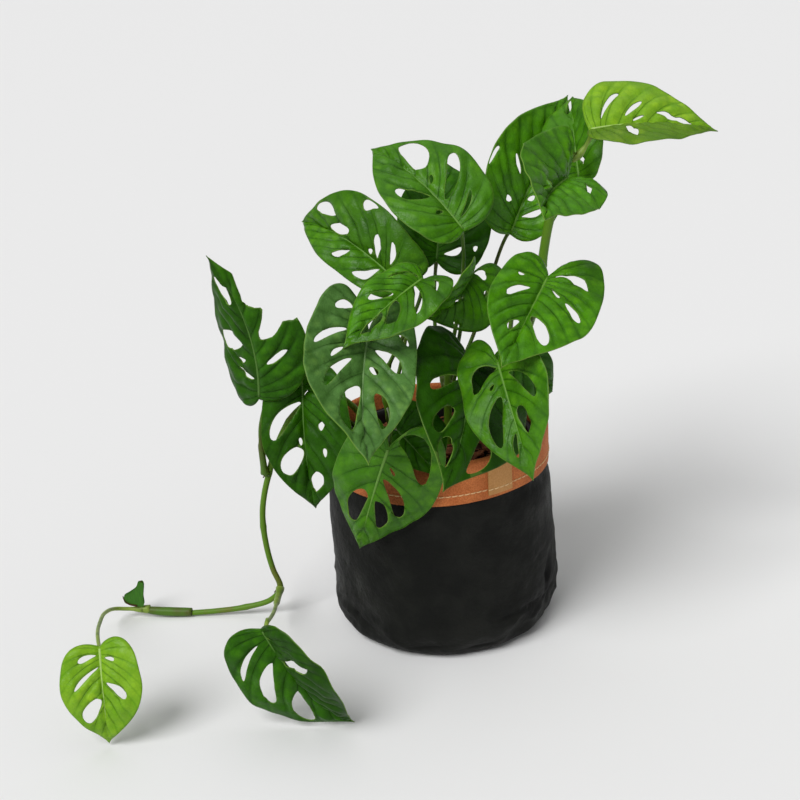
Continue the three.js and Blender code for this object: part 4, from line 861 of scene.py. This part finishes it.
def joint_share(at):
    """Where a leaf stands, as a share of its stem's length. at is that share or a joint's name."""
    if at not in JOINTS:
        return at
    vine = stem_paths["trailing_vine"]
    target = np.array(STEM_POINTS["trailing_vine"][JOINTS[at]], float)
    nearest = int(np.argmin(np.linalg.norm(vine.points - target, axis=1)))
    return float(vine.travel[nearest] / vine.length)


def stalk_path(leaf):
    """The line of a leaf's stalk, from inside its stem to the blade, and on under the midrib."""
    seat = bend(leaf, np.array([[0, SEAT * leaf.length]]))[0] - 0.3 * leaf.z
    if leaf.at == "tip":
        return Path([*TIP_STALK, seat])
    stem, share = stem_paths[leaf.stem], joint_share(leaf.at)
    joint, tangent = stem.at(share), stem.tangent(share)
    towards = (np.array(leaf.by[0], float) if leaf.by else seat) - joint
    out = towards - tangent * towards.dot(tangent)
    out /= np.linalg.norm(out)
    lean = abs(towards.dot(tangent)) / np.linalg.norm(towards) if leaf.by else STALK_LEAN
    start = joint + out * (STEM_RADII[leaf.stem] + CLEARANCE + STALK_RADIUS * lean)
    under = -0.9 * leaf.z - 0.35 * leaf.y
    if leaf.by:
        line = Path([start, *leaf.by, seat + 9 * under, seat]).points
    else:
        reach = np.linalg.norm(seat - start)
        rising = 0.55 * out + STALK_LEAN * tangent
        controls = [start, start + 0.4 * reach * rising, seat + 0.28 * reach * under, seat]
        line = bezier(controls, np.linspace(0, 1, 40))
    return Path([joint + 0.4 * (start - joint), *line], smooth=False)


print({name: round(path.length) for name, path in stem_paths.items()}, "mm of stem")

# %% [markdown]
# ## Leaf finishes
# The upper face of a leaf has a soft gloss and a mottled tone. Painted shade darkens each side vein to a fine
# dark crease and deepens the blade beside the veins, so the cushions between veins look lighter, and painted
# highlights put pale spots on the cushions. The midrib is a little paler. A thin yellowish line runs along
# every cut edge, and painted shade may darken one half of a leaf. The vein lines come from the vein count
# stored on the mesh, so they follow the creases exactly and keep their width in millimetres.
# %% Leaf finishes
# The second colour of each tone is the deeper colour of the mottle and, beside the veins, painted shade.
TONES = {  # blade, blade beside the veins, midrib
    "young": ((122, 168, 30), (94, 146, 12), (150, 184, 88)),
    "bright": ((72, 134, 6), (46, 98, 2), (84, 134, 32)),
    "green": ((68, 124, 10), (44, 94, 4), (80, 126, 36)),
    # The grey-green of this tone is a painted sheen, as on a leaf turned up to the light.
    "grey_sheen": ((82, 126, 58), (52, 92, 30), (96, 134, 72)),
    # The dark tone is for leaves in shade: a deeper green, partly the leaf's own and partly painted shade.
    "dark": ((46, 98, 4), (30, 72, 0), (54, 96, 20)),
}
RIM_COLOUR = srgb(124, 152, 70)


def vein_lines(finish):
    """Masks of the side veins, the midrib and the cushions between veins."""
    uv = finish.node("UVMap", {}, uv_map="veins").outputs["UV"]
    split = finish.node("SeparateXYZ", {0: uv})
    count, along = split.outputs[0], split.outputs[1]
    from_vein = finish.math("PINGPONG", count, 0.5)
    spacing = finish.attribute("spacing")
    line = finish.between(finish.times(from_vein, spacing), 0.1, 0.55, 1, 0)
    line = finish.times(line, finish.between(along, 0.4, 0.9, 1, 0.1))
    line = finish.times(line, finish.between(spacing, 1.5, 5))
    midrib = finish.between(finish.attribute("across"), 0.2, 0.65, 1, 0)
    cushion = finish.between(from_vein, 0.0, 0.22)
    return line, midrib, cushion


def upper_finish(tone):
    """The face of a leaf: layers of colour, each laid on where its mask is bright."""
    blade, deep, pale = (srgb(*colour) for colour in TONES[tone])
    # The first of these colours is painted shade for the vein creases and the fine net of veins, the second
    # the painted shade of a darker half; light below is the painted highlight of the spots on the cushions.
    painted_crease_shade, shadow = ((*(share * c for c in deep[:3]), 1) for share in (0.5, 0.3))
    light = (*(min(1, share * c) for share, c in zip((2.1, 1.7, 1.5), blade)), 1)
    finish = Finish("leaf_upper_" + tone, blade, 0.4, 0.1 if tone == "dark" else 0.2)
    line, midrib, cushion = vein_lines(finish)
    place = finish.place()
    mottle = finish.patches(place, 0.07, 0.35, 0.65, 4, 0.6)
    net = finish.between(finish.cells(place, 0.3, "DISTANCE_TO_EDGE"), 0.0, 0.14, 1, 0)
    # Painted highlights: pale spots on the cushions, where they would catch the light.
    highlight_spots = finish.times(finish.between(finish.cells(place, 0.14), 0.15, 0.65, 1, 0), cushion)
    highlight_spots = finish.times(highlight_spots, finish.patches(place, 0.03, 0.4, 0.6, 2))
    # Painted shade: beside the veins the blade takes its deeper colour, so the cushions look lighter; the
    # mottle is the leaf's own tone.
    share = finish.math("ADD", finish.times(mottle, 0.65), finish.times(cushion, 0.35))
    colour = finish.mix(share, deep, blade)
    for mask, strength, tint in ((highlight_spots, 0.4, light), (net, 0.12, painted_crease_shade), (line, 0.3, painted_crease_shade),
                                 (midrib, 0.25, pale), (finish.attribute("shade"), 1, shadow),
                                 (finish.between(finish.attribute("rim"), 0.5, 1.0), 0.25, RIM_COLOUR)):
        colour = finish.mix(finish.times(mask, strength), colour, tint)
    finish.colour(colour)
    finish.roughness(finish.between(finish.noise(place, 0.06, 3), 0.35, 0.65, 0.34, 0.48))
    finish.bump((net, -0.00006), (line, -0.0003), (finish.noise(place, 0.9, 3, 0.6), 0.00008))
    return finish.material


def under_finish(tone):
    """The underside: the same veins, paler and duller."""
    blade, deep, vein = (srgb(*[0.9 * c + 28 for c in colour]) for colour in TONES[tone])
    finish = Finish("leaf_under_" + tone, blade, 0.6, 0.2)
    line, midrib, cushion = vein_lines(finish)
    # Beside the veins the blade takes its deeper colour, painted shade as on the face.
    colour = finish.mix(finish.times(line, 0.6), finish.mix(cushion, deep, blade), vein)
    finish.colour(finish.mix(midrib, colour, vein))
    finish.bump((line, 0.0003), (finish.noise(finish.place(), 0.8, 3), 0.0001))
    return finish.material


def stalk_finish(name, green, brown):
    return blotched(name, srgb(*green), srgb(*brown), (0.45, 0.3), (0.05, 0.45, 0.65, 4, 0.6), 1.0, 2,
                    stretch=(2500, 2500, 300), depth=0.0001)


edge_finish = Finish("leaf_edge", srgb(100, 136, 46), 0.5, 0.2).material
old_stalk = stalk_finish("stalk", (72, 108, 22), (76, 86, 28))
young_stalk = stalk_finish("young_stalk", (132, 156, 62), (100, 126, 40))
LEAF_FINISHES = {tone: [upper_finish(tone), under_finish(tone), edge_finish] for tone in TONES}
print(len(LEAF_FINISHES), "leaf tones")

# %% [markdown]
# ## Leaves
# A leaf is one piece: the blade, the midrib that stands out under it like a keel, and the long stalk. The
# stalk has a thicker foot where it clasps the stem and a small knee just below the blade, with which the
# living leaf turns itself to the light. The vine's last leaf also holds the sheath round the growing tip.

# %% Build the leaves
SHEATH = [(-190.5, 6, 3.8), (-203, 7, 4.2), (-216, 8, 5.2), (-228, 9, 7)]
WING, JOINT_WING = 14, 32  # how far up a stalk its winged foot reaches
KEEL_POINTS = 40


def stalk_radius(length, wing):
    """The radii of a stalk: thick at its foot, and with a small knee just below the blade."""
    def radius(share):
        travel = share * length
        foot = 0.9 * bell(travel, 6) + 0.9 * (1 - float(ease(wing - 6, wing, travel)))
        return STALK_RADIUS * (1 - 0.18 * share) + foot + 0.35 * bell(length - travel - 5, 4)

    return radius


def sheath_radius(share):
    return 2.5 + 0.9 * math.sin(math.pi * min(1, 0.12 + share)) ** 0.5


def build_leaf(leaf):
    """Joins a blade, its keel and its stalk, and stores them as one piece."""
    bm = bmesh.new()
    bm.from_mesh(blade_mesh(leaf))
    stalk = stalk_path(leaf)
    wing = JOINT_WING if leaf.at in JOINTS else WING
    tube(bm, stalk, stalk_radius(stalk.length, wing), material=3)
    shares = np.linspace(0.02, 0.93, KEEL_POINTS)
    under = np.stack([np.zeros(KEEL_POINTS), shares * leaf.length], 1)
    keel = Path(bend(leaf, under) - blade_normals(leaf, under) * 0.55, smooth=False)
    tube(bm, keel, taper(1.15, 0.75), sides=8, material=1)
    if leaf.at == "tip":
        tube(bm, Path(SHEATH), sheath_radius, sides=16, step=2, material=4)
    stalk_green = young_stalk if leaf.tone == "young" or leaf.at == "N2" else old_stalk
    materials = [*LEAF_FINISHES[leaf.tone], stalk_green, old_stalk]
    finish_piece(leaf.name, bm, materials, [leaf.name])


for leaf in LEAVES:
    build_leaf(leaf)

# %% [markdown]
# ## Stems
# The stems are green and jointed. Each joint is a low swelling with a thin scar round it where an old leaf
# fell. Two joints of the vine carry a short dry root, and a rolled young leaf stands at its growing tip.

# %% Build the stems
SCAR_PITCH, SCAR_CLEARANCE = 43, 16  # bare joints stand this far apart, and this far from a leaf

stem_green = blotched("stem", srgb(86, 124, 24), srgb(98, 108, 36), (0.45, 0.25),
                      (0.045, 0.5, 0.66, 5, 0.65), 1.0, 3, stretch=(2000, 2000, 260), depth=0.00015)
dry_root = Finish("dry_root", srgb(70, 46, 26), 0.8, 0.2)
dry_root.bump((dry_root.noise(dry_root.place(), 1.4, 3), 0.0002))


def joint_travels(name):
    """Distances along a stem at which its joints stand."""
    length = stem_paths[name].length
    travels = [joint_share(leaf.at) * length for leaf in LEAVES if leaf.stem == name and leaf.at != "tip"]
    return travels + [travel for travel in np.arange(36, length, SCAR_PITCH)
                      if min((abs(travel - other) for other in travels), default=99) > SCAR_CLEARANCE]


def build_stem(name):
    """Builds a stem with its joints, and the vine's with their short roots."""
    bm = bmesh.new()
    path, base = stem_paths[name], STEM_RADII[name]
    travels = joint_travels(name)

    def radius(share):
        here = share * path.length
        swell = sum(0.12 * bell(here - travel, 4) + 0.07 * bell(here - travel, 0.8) for travel in travels)
        return base * (1 - 0.12 * share) * (1 + swell)

    tube(bm, path, radius, sides=20, step=1.6)
    if name == "trailing_vine":
        for place in JOINTS.values():
            joint = np.array(STEM_POINTS[name][place], float)
            root = Path([joint, joint + (-2.5, 1.4, -1.8), joint + (-5, 3, -5)])
            tube(bm, root, taper(0.95, 0.6), sides=8, step=0.8, material=1)
    finish_piece(name, bm, [stem_green, dry_root.material], [name])


for name in STEM_POINTS:
    build_stem(name)

# %% [markdown]
# ## The new shoot
# At the vine's tip stands a young leaf, still half rolled into a hood. Its outline is drawn from the front
# and inflated by insets, each a little higher than the last. Then it's mirrored, and pinched along the line
# where the rolled edge overlaps. A dry husk and a curled thread stay at its foot and tip.

# %% New shoot
SHOOT_OUTLINE = [  # seen from the front, from its foot
    (-4, 0), (1.2, 0), (1.8, 8), (3.2, 18), (2.2, 20), (-0.6, 19.6), (-3, 15), (-8, 11.5), (-12.6, 8.5),
    (-12, 3.4), (-7.5, 1.6),
]
SHOOT_FOOT = (-227.5, 8.4, 10.7)
SHOOT_INSETS = ((0.25, 0.35), (0.45, 0.9), (0.6, 1.6), (0.4, 2.2))  # rise and width of each
SHOOT_SLIM = 0.55  # narrows every inset
HUSK = [(-231, 6.4, 11.5), (-237, 6.2, 13.5), (-240.2, 6.6, 17.5), (-240.6, 7.2, 20)]
CURL = [(-226.6, 8.2, 28.4), (-225.4, 8.0, 30.2), (-226.4, 7.8, 31.0)]


def rounded(outline, per_span):
    """An outline in the plane, smoothed through its corners."""
    return [tuple(point[:2]) for point in Path([(x, y, 0) for x, y in outline], per_span=per_span).points]


shoot = bmesh.new()
face = shoot.faces.new([shoot.verts.new((x, 0, z)) for x, z in rounded(SHOOT_OUTLINE, 5)])
shoot.normal_update()
for rise, width in SHOOT_INSETS:
    bmesh.ops.inset_region(shoot, faces=[face], thickness=width * SHOOT_SLIM, depth=rise,
                           use_even_offset=True)
bmesh.ops.triangulate(shoot, faces=[face])
bmesh.ops.remove_doubles(shoot, verts=shoot.verts, dist=0.05)
everything = [*shoot.verts, *shoot.edges, *shoot.faces]
bmesh.ops.mirror(shoot, geom=everything, axis="Y", merge_dist=0.02)
bmesh.ops.recalc_face_normals(shoot, faces=shoot.faces)
for vert in shoot.verts:
    vert.co.y *= 1 - 0.3 * bell(vert.co.x + 1.5 - 0.12 * vert.co.z, 0.9)
bmesh.ops.translate(shoot, vec=SHOOT_FOOT, verts=shoot.verts)
tube(shoot, Path(HUSK), taper(0.75, 0.6), sides=7, step=0.9, material=1)
tube(shoot, Path(CURL), taper(0.8, 0.5), sides=7, step=0.6, material=1)
rolled_leaf = Finish("rolled_leaf", srgb(40, 96, 10), 0.4, 0.3)
streaks = rolled_leaf.place((900, 900, 160))
rolled_leaf.colour(rolled_leaf.mix(rolled_leaf.noise(streaks, 1.0, 3), srgb(34, 84, 8), srgb(62, 124, 18)))
rolled_leaf.bump((rolled_leaf.noise(streaks, 2.0, 3), 0.0003))
finish_piece("new_shoot", shoot, [rolled_leaf.material, dry_root.material], ["new_shoot"])

# %% [markdown]
# ## The paper bag
# The planter is a bag of washable paper: flat and round below, a limp wall above. Its profile is spun like
# a pot on a wheel and then slackened, with soft ripples, a few dents where it was gripped, large folds at
# one corner and, along the rounded bottom edge, the sharp little creases that paper takes in a tight curve.
# Each point also stores how much painted shade it takes: painted shade deep in a crease, and a painted shadow
# in a band just below the cuff.

# %% Build the bag
BAG_WALL = 1.5
BAG_SEGMENTS = 200
BAG_OUTSIDE = [  # radius and height
    (66, 0), (73, 2.6), (78.5, 8), (81.5, 17), (81.8, 30), (81.5, 46), (81.1, 68), (80.5, 90), (79, 108),
    (76.6, 118.5), (76.6, 145.5),
]
BAG_TOP_RADIUS, BAG_TOP = BAG_OUTSIDE[-1]
CUFF_HEM, CUFF_TOP, LINING_HEM = 120.5, 150, 122
CUFF_OUTSIDE, CUFF_INSIDE, CUFF_WALL = 77.3, 74.8, 1.4
DENTS = [  # angle, height, width, tallness and depth
    (-0.4, 18, 0.2, 10, 4.8), (-0.95, 14, 0.16, 8, 3.52), (-2.35, 17, 0.2, 9, 3.2), (1.6, 20, 0.2, 9, 3.2),
]
SLACK = 0.9
CUFF_CRUMPLE = 0.35  # the cuff is stiffer than the wall
BULGE, BULGE_HEIGHT, BULGE_TALL = 2.2, 38, 28
FLAT_BASE = 62  # inside this radius the base stays flat
WALL_RADIUS = 80  # on average, to measure lengths round the wall
CREASE_SPAN = 30  # beyond this distance a crease no longer moves the paper
# How strongly painted shade darkens the creases, and a painted shadow the band just below the cuff.
CREASE_SHADE, HEM_SHADE = 0.4, 0.45

CREASE_GROUPS = [  # how many, then the ranges of angle, height, slope, reach and depth
    (56, (-math.pi, math.pi), (3, 44), (-1.1, 1.1), (7, 20), (0.6, 1.5)),
    (26, (-math.pi, math.pi), (40, 112), (-1.4, 1.4), (10, 26), (0.3, 0.7)),
    (8, (-1.1, -0.2), (5, 38), (-1.2, 1.2), (9, 20), (0.7, 1.4)),
]
FOLDS = [  # the large folds at one corner: angle, height, slope, reach, depth and way
    (-0.47, 42, 1.35, 13, 3.8, -1), (-0.72, 28, -0.15, 15, 4.2, -1), (-0.66, 19, 0.1, 12, 2.4, 1),
    (-0.33, 24, 1.2, 10, 2.4, -1), (-1.75, 12, 0.15, 16, 1.4, -1), (-1.25, 9, -0.1, 14, 1.6, -1),
]

maker = random.Random(7)
CREASES = FOLDS + [(*[maker.uniform(*limits) for limits in ranges], maker.choice((-1, 1)))
                   for count, *ranges in CREASE_GROUPS for _ in range(count)]


def around(radius, angle, height):
    """The point at a distance and an angle round the pot's axis."""
    return radius * math.cos(angle), radius * math.sin(angle), height


def slack_at(angle, height):
    """How far the limp wall stands out from a true round."""
    ripple = math.sin(3 * angle + 0.6) + 0.6 * math.sin(5 * angle - 0.02 * height)
    out = SLACK * ripple * float(ease(4, 30, height))
    out += BULGE * math.cos(angle) * bell(height - BULGE_HEIGHT, BULGE_TALL)
    for at, middle, wide, tall, depth in DENTS:
        out -= depth * bell(math.remainder(angle - at, math.tau), wide) * bell(height - middle, tall)
    return out


def creases_at(angle, height, inward_only=False):
    """Sharp creases, most of them near the bottom edge."""
    out = 0.0
    for at, middle, slope, reach, depth, way in CREASES:
        along = math.remainder(angle - at, math.tau) * WALL_RADIUS
        up = height - middle
        if abs(along) > CREASE_SPAN or abs(up) > CREASE_SPAN or inward_only and way > 0:
            continue
        run = along * math.cos(slope) + up * math.sin(slope)
        off = abs(-along * math.sin(slope) + up * math.cos(slope))
        out += way * depth * math.exp(-off / (1.4 + depth)) * bell(run, reach)
    return out


def crumple_at(angle, height):
    """How far creases and soft dents move the wall."""
    place = Vector(around(WALL_RADIUS, angle, height))
    low = 1 - float(ease(20, 70, height))
    coarse = (0.6 + 0.9 * low) * noise.noise(place * 0.05)
    fine = (0.3 + 0.35 * low) * noise.noise(place * 0.16)
    return creases_at(angle, height) + coarse + fine


def slacken(bm, crumple):
    """Slackens a turned wall, and notes each point's painted shade: deep in a crease, and a painted shadow
    just below the cuff.
    """
    shaded = bm.verts.layers.float.new("shaded")
    for vert in bm.verts:
        radius = math.hypot(vert.co.x, vert.co.y)
        if radius < FLAT_BASE:
            continue
        angle, height = math.atan2(vert.co.y, vert.co.x), vert.co.z
        fade = float(ease(0, 6, height))
        grown = (radius + slack_at(angle, height) + crumple * fade * crumple_at(angle, height)) / radius
        # A painted shadow in a band just below the cuff, and painted shade deep in the creases.
        cuff_shadow = math.exp(-abs(CUFF_HEM - height) / 4)
        vert[shaded] = -CREASE_SHADE * creases_at(angle, height, True) + HEM_SHADE * cuff_shadow
        vert.co.x *= grown
        vert.co.y *= grown


def dense(profile, step=1.6):
    """A profile with points added along its straight runs."""
    line = [profile[0]]
    for (r1, h1), (r2, h2) in zip(profile, profile[1:]):
        cuts = max(1, round(math.hypot(r2 - r1, h2 - h1) / step))
        line += [(r1 + (r2 - r1) * k / cuts, h1 + (h2 - h1) * k / cuts) for k in range(1, cuts + 1)]
    return line


def spin_profile(bm, profile, steps):
    """Turns a profile of (radius, height) about Z into a closed surface."""
    corners = [bm.verts.new((radius, 0, height)) for radius, height in profile]
    edges = [bm.edges.new(pair) for pair in zip(corners, corners[1:])]
    bmesh.ops.spin(bm, geom=corners + edges, cent=(0, 0, 0), axis=(0, 0, 1), dvec=(0, 0, 0),
                   angle=math.tau, steps=steps, use_merge=True, use_duplicate=False)
    bmesh.ops.remove_doubles(bm, verts=bm.verts, dist=0.001)
    bmesh.ops.recalc_face_normals(bm, faces=bm.faces)


def bag_finish():
    """Scuffed black paper, with painted shade in its creases and a painted shadow just below the cuff."""
    finish = Finish("black_paper", srgb(18, 18, 17), 0.5, 0.1)
    place = finish.place()
    scuff = finish.patches(place, 0.035, 0.35, 0.7, 4, 0.55)
    # Painted shade and painted shadow, read from the mesh, darken the paper.
    dark = finish.between(finish.attribute("shaded"), 0.15, 0.8, 0, 0.75)
    finish.colour(finish.mix(dark, finish.mix(scuff, srgb(18, 19, 17), srgb(27, 28, 25)), srgb(0, 0, 0)))
    finish.roughness(finish.between(scuff, 0, 1, 0.6, 0.44))
    finish.bump((finish.noise(place, 0.22, 3, 0.5), 0.0008), (finish.noise(place, 1.6, 3), 0.00022))
    return finish.material


outside = rounded(BAG_OUTSIDE, 9)
inside_wall = [(r - BAG_WALL, max(h, BAG_WALL + h * 0.9)) for r, h in BAG_OUTSIDE[::-1]]
inside_wall[0] = (BAG_TOP_RADIUS - BAG_WALL, BAG_TOP)
bag = bmesh.new()
spin_profile(bag, dense([(0, 0), (40, 0), *outside, *inside_wall, (0, BAG_WALL)]), BAG_SEGMENTS)
slacken(bag, 1.0)
finish_piece("bag_body", bag, [bag_finish()], ["bag_body"])

# %% [markdown]
# ## The cuff
# The top of the bag is finished with a tan strip of the same paper, folded over the edge: a band outside, a
# lining inside, and a soft round fold on top. Its surface is mottled like leather.

# %% Build the cuff


def tan_finish(name, light, dark):
    """Tan paper, speckled and clouded."""
    finish = Finish(name, light, 0.65, 0.2)
    place = finish.place()
    speckle, cloud = finish.patches(place, 0.9, 0.4, 0.62, 4, 0.7), finish.patches(place, 0.04, 0.35, 0.7)
    finish.colour(finish.mix(finish.times(finish.math("ADD", speckle, cloud), 0.5), dark, light))
    finish.bump((finish.noise(place, 0.5, 5, 0.65), 0.0005), (finish.noise(place, 2.0, 3), 0.00025))
    return finish.material


CUFF_FACE, LINING_FACE = CUFF_OUTSIDE + CUFF_WALL, CUFF_INSIDE - CUFF_WALL
fold = rounded([(CUFF_FACE, CUFF_TOP - 4), (CUFF_OUTSIDE + 0.95, CUFF_TOP - 1.6), (75.8, CUFF_TOP),
                (LINING_FACE + 0.3, CUFF_TOP - 1.6), (LINING_FACE, CUFF_TOP - 4)], 6)
cuff_outline = [
    (CUFF_OUTSIDE, CUFF_HEM), (CUFF_OUTSIDE + 0.3, CUFF_HEM - 0.2), (CUFF_FACE - 0.3, CUFF_HEM - 0.2),
    (CUFF_FACE, CUFF_HEM + 0.3), *fold, (LINING_FACE, LINING_HEM), (CUFF_INSIDE, LINING_HEM),
    (CUFF_INSIDE, BAG_TOP - 1), (CUFF_INSIDE + 0.3, BAG_TOP + 0.3), (CUFF_OUTSIDE - 0.4, BAG_TOP + 0.3),
    (CUFF_OUTSIDE, BAG_TOP - 1), (CUFF_OUTSIDE, CUFF_HEM),
]
cuff = bmesh.new()
spin_profile(cuff, dense(cuff_outline), BAG_SEGMENTS)
slacken(cuff, CUFF_CRUMPLE)
tan = tan_finish("tan_paper", srgb(218, 132, 74), srgb(172, 90, 44))
finish_piece("bag_cuff", cuff, [tan], ["bag_cuff"])

# %% [markdown]
# ## Label and stitching
# A small blank tab is sewn on the cuff. One line of cream stitches runs round the cuff a little above its
# lower edge and crosses the tab's foot. Each stitch is a short round thread whose ends dive into the paper.

# %% Build the label and the stitches
LABEL_WIDTH, LABEL_HEIGHT, LABEL_THICK = 20, 22, 1.4
LABEL_ANGLE = math.radians(-60)
LABEL_FOOT = 123
STITCH_HEIGHT = CUFF_HEM + 6.6
STITCH_PITCH, STITCH_LENGTH, STITCH_RADIUS = 4.3, 3.9, 0.38
STITCH_SHAPE = ((-1, -0.35), (-0.6, 0.3), (0.6, 0.3), (1, -0.35))  # share of half a stitch, and lift


def cuff_face(angle, height):
    """The radius of the cuff's outer face."""
    return CUFF_FACE + slack_at(angle, height) + CUFF_CRUMPLE * crumple_at(angle, height)


def round_edges(bm, edges, offset, segments):
    bmesh.ops.bevel(bm, geom=edges, offset=offset, segments=segments, profile=0.5, affect="EDGES",
                    material=-1)


label = bmesh.new()
bmesh.ops.create_cube(label, size=1)
bmesh.ops.scale(label, vec=(LABEL_WIDTH, LABEL_THICK, LABEL_HEIGHT), verts=label.verts)
bmesh.ops.subdivide_edges(label, edges=label.edges, cuts=9, use_grid_fill=True)
round_edges(label, [edge for edge in label.edges if edge.calc_face_angle(0) > 1], 0.06, 2)
for vert in label.verts:
    angle = LABEL_ANGLE + vert.co.x / (CUFF_FACE + LABEL_THICK)
    height = LABEL_FOOT + LABEL_HEIGHT / 2 + vert.co.z
    radius = cuff_face(angle, height) + LABEL_THICK / 2 - 0.15 + vert.co.y
    vert.co = around(radius, angle, height)
bmesh.ops.recalc_face_normals(label, faces=label.faces)
label_tan = tan_finish("label_paper", srgb(208, 156, 98), srgb(188, 134, 76))
finish_piece("cuff_label", label, [label_tan], ["cuff_label"])

stitches = bmesh.new()
stitch_count = round(math.tau * CUFF_FACE / STITCH_PITCH)
half_turn = STITCH_LENGTH / 2 / CUFF_FACE
for k in range(stitch_count):
    middle = math.tau * k / stitch_count
    points = []
    for share, lift in STITCH_SHAPE:
        angle = middle + share * half_turn
        on_label = abs(math.remainder(angle - LABEL_ANGLE, math.tau)) < LABEL_WIDTH / 2 / CUFF_FACE
        radius = cuff_face(angle, STITCH_HEIGHT) + lift + (LABEL_THICK - 0.2 if on_label else 0)
        points.append(around(radius, angle, STITCH_HEIGHT + 0.15 * share))
    tube(stitches, Path(points, smooth=False), taper(STITCH_RADIUS, 0), sides=6, step=1.3)
thread = Finish("cream_thread", srgb(236, 202, 150), 0.8)
finish_piece("cuff_stitching", stitches, [thread.material])

# %% [markdown]
# ## Nursery pot
# Inside the bag stands the thin black pot the plant was grown in: a tapered wall with a rim, turned from
# one outline.

# %% Build the nursery pot
POT_TOP, POT_FLOOR, POT_WALL = 139, 1.8, 1.3


def pot_radius(height):
    return 52 + 14 * (height - POT_FLOOR) / (POT_TOP - POT_FLOOR)


pot = bmesh.new()
pot_outline = [
    (0, POT_FLOOR), (51, POT_FLOOR), (52.2, POT_FLOOR + 1), (pot_radius(134) - 0.1, 133.6), (68.4, 134),
    (69, 134.6), (69, 138.4), (68.4, POT_TOP), (65.2, POT_TOP), (64.7, 138.4),
    (pot_radius(3.1) - POT_WALL, 3.1), (0, 3.1),
]
spin_profile(pot, dense(pot_outline, 4), 96)
plastic = Finish("black_plastic", srgb(18, 18, 18), 0.4, 0.3)
plastic.bump((plastic.noise(plastic.place(), 0.6, 2), 0.00008))
finish_piece("nursery_pot", pot, [plastic.material], ["nursery_pot"])

# %% [markdown]
# ## Potting mix
# The mix is coarse: dark peat below, and on top chips of reddish bark, each a slab with broken edges lying
# at its own slope. A seeded random generator scatters them, so they fall the same way each time.

# %% Build the potting mix
SOIL_TOP, SOIL_GAP = 127, 1.6
CHIP_COUNT, CHIP_REACH = 240, 60


def earth_finish(name, first, second, scale):
    return blotched(name, srgb(*first), srgb(*second), (0.9, 0.15), (scale, 0.35, 0.65, 5, 0.65),
                    3 * scale, 4, 0.6, depth=0.0007)


mix = bmesh.new()
shoulder = (pot_radius(SOIL_TOP) - SOIL_GAP, SOIL_TOP - 2)
side, top = dense([(0, 3.4), (50.6, 3.4), shoulder], 12), dense([shoulder, (0, SOIL_TOP)], 1.8)
spin_profile(mix, side + top[1:], 110)
for vert in mix.verts:
    if vert.co.z > SOIL_TOP - 3:
        edge = 1 - float(ease(50, 62, math.hypot(vert.co.x, vert.co.y)))
        place = Vector((vert.co.x, vert.co.y, 0))
        vert.co.z += edge * 1.6 * noise.noise(place * 0.09) + 1.2 * noise.noise(place * 0.3)
peat = earth_finish("peat", (40, 27, 20), (70, 46, 32), 0.3)
finish_piece("potting_soil", mix, [peat], ["potting_soil"])

bark = bmesh.new()
digger = random.Random(21)
for _ in range(CHIP_COUNT):
    reach, turn = CHIP_REACH * math.sqrt(digger.random()), digger.uniform(0, math.tau)
    long, wide, thick = digger.uniform(4, 14), digger.uniform(3, 8), digger.uniform(1.1, 2.6)
    chip = bmesh.ops.create_cube(bark, size=1)["verts"]
    for vert in chip:
        vert.co.x *= 1 + digger.uniform(-0.25, 0.25)
        vert.co.y *= 1 + digger.uniform(-0.3, 0.3)
    tilts = [Matrix.Rotation(digger.uniform(-0.4, 0.4), 4, axis) for axis in "XY"]
    pose = Matrix.Translation(around(reach, turn, SOIL_TOP + digger.uniform(0.6, 3.6)))
    spread = Matrix.Rotation(digger.uniform(0, math.pi), 4, "Z") @ (tilts[0] @ tilts[1])
    sized = spread @ Matrix.Diagonal((long, wide, thick, 1))
    bmesh.ops.transform(bark, verts=chip, matrix=pose @ sized)
    round_edges(bark, list({edge for vert in chip for edge in vert.link_edges}), 0.55, 1)
chips = earth_finish("bark", (128, 78, 50), (84, 48, 30), 0.12)
finish_piece("bark_chips", bark, [chips], smooth=False)
